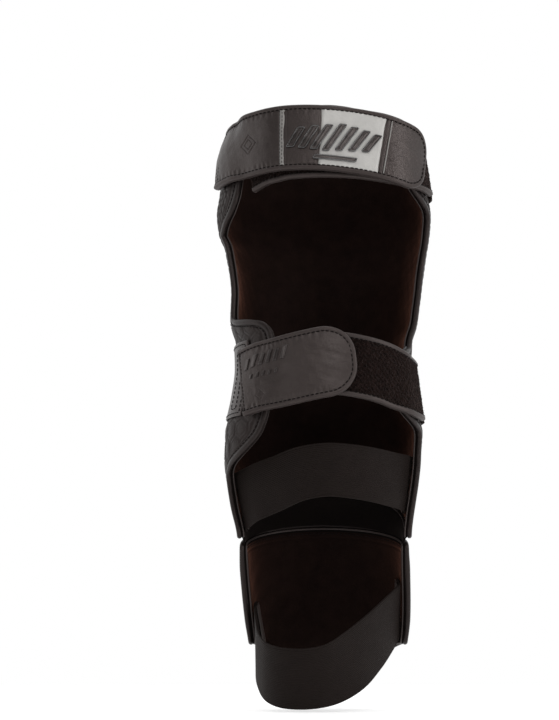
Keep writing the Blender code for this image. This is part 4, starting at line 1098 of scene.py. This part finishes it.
def slanted_bars(band, places, slant, depth, proud, ground, dish=0.35):
    """Raised bars across a strap's relief, with dished tops: (way, width, lowest, highest)."""
    parts = []
    for start, wide, low, high in places:
        s, t = grid(np.linspace(0, 1, max(8, int(wide / 0.4))),
                    np.linspace(0, 1, max(12, int((high - low) / 0.45))))

        def surface(s, t, d, start=start, wide=wide, low=low, high=high):
            across = low + t * (high - low)
            way = start + s * wide + slant * (across - (low + high) / 2)
            return band.at(way, across, d + ground(way, across))

        near = rim_distance(surface(s, t, np.full(s.shape, depth))[0])
        relief = dish * (ramp((near - 1.4) / 0.8) - groove(near - 1.3, 0.8))
        parts.append(pillow(surface, s, t, depth, depth + proud, 0.7, relief))
    return joined(parts)


def outline_of(band, corners, depth, ground):
    """A closed bead round a moulded shape whose corners are (way, across)."""
    line = even(0.5, np.array(corners, float), closed=True)[0]
    line = smoothed(line, 3, True)
    points, normals = band.at(line[:, 0], line[:, 1], depth + ground(line[:, 0], line[:, 1]))
    ahead = unit(np.roll(points, -1, 0) - np.roll(points, 1, 0))
    return bead(points, normals, unit(np.cross(ahead, normals)), 0.5, 0.55, power=2, count=10, closed=True)


def make_emblem(fold, depth, ground, body):
    """Slanted moulded bars, longest in the middle, over a base bar, each inside a raised glossy outline."""
    places = []
    for k in range(EMBLEM_BARS):
        from_middle = abs(k - EMBLEM_BARS // 2)
        start = fold + EMBLEM_START + EMBLEM_PITCH * k - EMBLEM_WIDE / 2
        places.append((start, EMBLEM_WIDE, from_middle - 12, 12 - 1.5 * from_middle))
    places.append((fold + 30, 36, -19.2, -16.2))
    bars = slanted_bars(UPPER, places, EMBLEM_SLANT, depth, 1.5, ground)
    put("patch_slanted_emblem", *bars, "moulded", body, ["patch_emblem"])
    rings = []
    for start, wide, low, high in places:
        lean = EMBLEM_SLANT * (high - low) / 2
        corners = [(start - lean, low), (start + wide - lean, low), (start + wide + lean, high),
                   (start + lean, high)]
        rings.append(outline_of(UPPER, corners, depth + 1.4, ground))
    put("patch_emblem_outline", *joined(rings), "outline", body)


def hooks(band, prefix, start, end, half, body, stands):
    """A panel of hook tape on a strap's inside."""
    strap_skin(f"{prefix}_hook_tape", band, start, end, half, -GAP - HOOK, -0.1, "hook", body, stands,
               corner=8)
    bristle = fibres(band.at, (start + 4, end - 5), half - 4, -GAP - HOOK + 0.1, 1400, -0.9, 0.09, 0.5)
    put(f"{prefix}_hook_bristle", *bristle, "hook", body)


def make_mid_flap():
    half, end, corner, body = MID_HALF - INSET, FLAP.length - INSET, MID_CORNER - INSET, "mid_flap"
    soft = soft_face(half, 38.0, 0.55, 4.0)

    def relief(way, across):
        mark = diamond(way, across, 20, -16, 4.5, 0.8)
        return soft(way, across) - 0.7 * mark - 0.35 * groove(way - FLAP_SEAM, 0.9)

    leather_strap("mid_flap", FLAP, 1, end, half, corner, body, relief)
    hooks(FLAP, "mid", end - 52, end - 9, half - 5, body, ["mid_hook_panel"])
    cross_seam("mid_flap_root_sewing", FLAP, FLAP_SEAM, half - 1, STACK + 0.3, body)
    tall = [(9.5 + 7.2 * k, 3.6, 8.5 + 0.3 * k, 17.5 + 0.4 * k + 1.2 * (k % 2)) for k in range(6)]
    short = [(13 + 6 * k, 2.2, -0.5, 3.2) for k in range(5)]
    marks = slanted_bars(FLAP, tall + short, 0.45, STACK - 0.2, 1.2, soft, dish=0)
    put("mid_flap_slanted_marks", *marks, "moulded", body, ["mid_flap_badge"])


def make_loop_strap(prefix, band, half_knots, corner, body, thick_fibres):
    """A strap of loop tape. Without a rounded end only its long edges are taped."""
    end = band.length - INSET
    half = knots_half(half_knots, INSET)
    face = BACKING + GAP + PILE

    def tufts(way, across):
        return 0.3 * ripple(way, across, 5.0, 1.0) + 0.4 * ripple(way, across, 2.6, 2.0)

    strap_skin(f"{prefix}_loop_padding", band, 1, end, half, 0.0, BACKING, "knit", body,
               [f"{prefix}_loop_backing"], corner=corner)
    strap_skin(f"{prefix}_loop_face", band, 1, end, knots_half(half_knots, INSET - 0.4), BACKING, face,
               "pile", body, [f"{prefix}_loop_pile"], corner=corner, relief=tufts, columns=90, step=0.7)
    fuzz = fibres(band.at, (3, end - 4), lambda way: half(way / band.length) - 1.2, face - 0.2, thick_fibres,
                  1.7, 0.07, 1.1)
    put(f"{prefix}_loop_fuzz", *fuzz, "pile", body)
    edges = {"": strap_edge(band, 1, end, half, corner)} if corner else long_edges(band, 1, end, half)
    for word, line in edges.items():
        strap_tape(f"{prefix}_loop{word}_tape", body, line, face - UNDER_TAPE, [f"{prefix}_loop_binding"])


def elastic_band(name, surface, places, half_seat, path, ups, half_knots, body):
    """Ribbed elastic between the two sides of a pad, sewn to its inside under a hem at each end."""
    def sewn_end(depths, place):
        return [seat(surface, a, m, half_seat, lambda _a, _m, d=d: d) for d, (a, m) in zip(depths, place)]

    left, right = places
    band = Band(sewn_end(ELASTIC_SEAT_DEPTHS, left) + free(path, ups)
                + sewn_end(ELASTIC_SEAT_DEPTHS[::-1], right))
    half = knots_half(half_knots)

    def ribs(way, across):
        inwards = half(way / band.length) - np.abs(across)
        rib = 0.15 * np.cos(across * 2 * math.pi / 1.55) * ramp((inwards - 1.2) / 0.6)
        return rib - 0.28 * groove(inwards - 1.5, 0.7) + 0.3 * ripple(way, across, 70, 2.0)

    face = WEBBING / 2
    strap = strap_skin(f"{name}_weave", band, 0, band.length, half, -face, face, "elastic", body, [name],
                       relief=ribs, edge=0.8, columns=210, under=lambda w, x: -ribs(w, x))
    for end, share, first, sewn in (("left", 0, 0, HEM_SEAM),
                                    ("right", 1, band.length - HEM, band.length - HEM_SEAM)):
        reach = float(half(np.array(float(share)))) - 1
        strap_skin(f"{name}_{end}_hem", band, first, first + HEM, reach, -face - 1.7, -face - 0.1, "tape",
                   body, [f"{name}_{end}_tab"])
        cross_seam(f"{name}_{end}_sewing", band, sewn, reach - 2, face + 0.1, body)


def make_elastics():
    elastic_band("ankle_elastic", pad_point, ANKLE_ELASTIC_SEAT, 24, ANKLE_ELASTIC, None, ANKLE_ELASTIC_HALF,
                 "shin_pad")
    shares = np.linspace(0, 1, len(FOOT_ELASTIC))
    ups = [[np.interp(s, [k[0] for k in FOOT_ACROSS], [k[1][i] for k in FOOT_ACROSS]) for i in range(3)]
           for s in shares]
    elastic_band("foot_elastic", instep_point, FOOT_ELASTIC_SEAT, -27, FOOT_ELASTIC, ups, FOOT_ELASTIC_HALF,
                 "instep_pad")


# ---- Studio, in metres -----------------------------------------------------------------------
# Each light's place, its width and height, and its watts. All of them face the guard's middle.
LIGHTS = {"key_softbox": ((0.35, -2.5, 1.2), 1.0, 1.0, 20), "right_strip": ((1.5, -0.9, 0.6), 0.35, 1.6, 13),
          "left_strip": ((-1.6, -0.2, 0.5), 0.25, 1.4, 2), "left_fill": ((-1.1, -1.5, 0.5), 0.3, 1.2, 4),
          "top_softbox": ((0.1, 0.0, 2.2), 1.2, 1.2, 8)}
LIT_MIDDLE = Vector((0, 0, 0.3))
FLAG_CORNERS, FLAG_HEIGHTS = [(-2.6, -0.9), (-2.6, -3.2), (2.6, -3.2), (2.6, -1.7)], (-0.4, 3.2)
FLOOR_RADIUS, FLOOR_SIDES = 1.5, 96
CAMERA_PLACE, CAMERA_LENS, CAMERA_SENSOR, CAMERA_CLIP = (0, -1.531, 0.043), 89.0, 36.0, (0.05, 50)
CAMERA_TILT, CAMERA_PAN = math.radians(90 + 9.55), math.radians(1.43)


def linked(name, data, place=(0, 0, 0)):
    obj = bpy.data.objects.new(name, data)
    obj.location = place
    bpy.context.scene.collection.objects.link(obj)
    return obj


def make_lights():
    for name, (place, wide, tall, watts) in LIGHTS.items():
        light = bpy.data.lights.new(name, "AREA")
        light.shape, light.size, light.size_y, light.energy = "RECTANGLE", wide, tall, watts
        obj = linked(name, light, place)
        obj.rotation_euler = (LIT_MIDDLE - Vector(place)).to_track_quat("-Z", "Y").to_euler()
        obj.visible_camera = False


def make_stage():
    """A pale floor, and black flags round the camera's side that keep the dark leather from going grey."""
    corners = [(x, y, z) for z in FLAG_HEIGHTS for x, y in FLAG_CORNERS]
    shade = bpy.data.meshes.new("studio_flag")
    shade.from_pydata(corners, [], [(k, k + 1, k + 5, k + 4) for k in range(3)])
    shade.materials.append(plain("flag_black", Base_Color=(0.01, 0.01, 0.01, 1), Roughness=1.0))
    flag = linked("studio_flag", shade)
    flag.visible_camera = False
    turn = np.linspace(0, 2 * math.pi, FLOOR_SIDES, endpoint=False)
    ground = bpy.data.meshes.new("studio_floor")
    ground.from_pydata([(FLOOR_RADIUS * math.cos(t), FLOOR_RADIUS * math.sin(t), 0) for t in turn], [],
                       [tuple(range(FLOOR_SIDES))])
    ground.materials.append(plain("pale_floor", Base_Color=(0.6, 0.6, 0.6, 1), Roughness=0.6,
                                  Emission_Color=(1, 1, 1, 1), Emission_Strength=0.5))
    floor = linked("studio_floor", ground)


def make_studio():
    """White surroundings, softboxes, the stage and the camera."""
    scene = bpy.context.scene
    world = bpy.data.worlds.new("white_studio")
    world.use_nodes = True
    world.node_tree.nodes["Background"].inputs["Color"].default_value = (1, 1, 1, 1)
    world.node_tree.nodes["Background"].inputs["Strength"].default_value = 1.0
    scene.world = world
    scene.view_settings.view_transform = "Standard"
    make_lights()
    make_stage()
    data = bpy.data.cameras.new("photo_camera")
    data.lens, data.sensor_width, data.sensor_fit = CAMERA_LENS, CAMERA_SENSOR, "AUTO"
    data.clip_start, data.clip_end = CAMERA_CLIP
    camera = linked("photo_camera", data, CAMERA_PLACE)
    camera.rotation_euler = (CAMERA_TILT, 0, CAMERA_PAN)
    scene.camera = camera


make_shin_pad()
make_instep()
make_gusset()
make_upper_strap()
make_mid_flap()
make_loop_strap("upper", UPPER_UNDER, UPPER_LOOP_HALF, 0.0, "upper_loop_strap", 7000)
make_loop_strap("mid", MID_UNDER, MID_LOOP_HALF, 8.6, "mid_loop_strap", 6000)
make_elastics()
for node in ("shin_comfort_foam", "shin_impact_foam", "instep_foam"):
    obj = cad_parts[node]
    obj.data.materials.clear()
    obj.data.materials.append(SKINS["foam"])
make_studio()
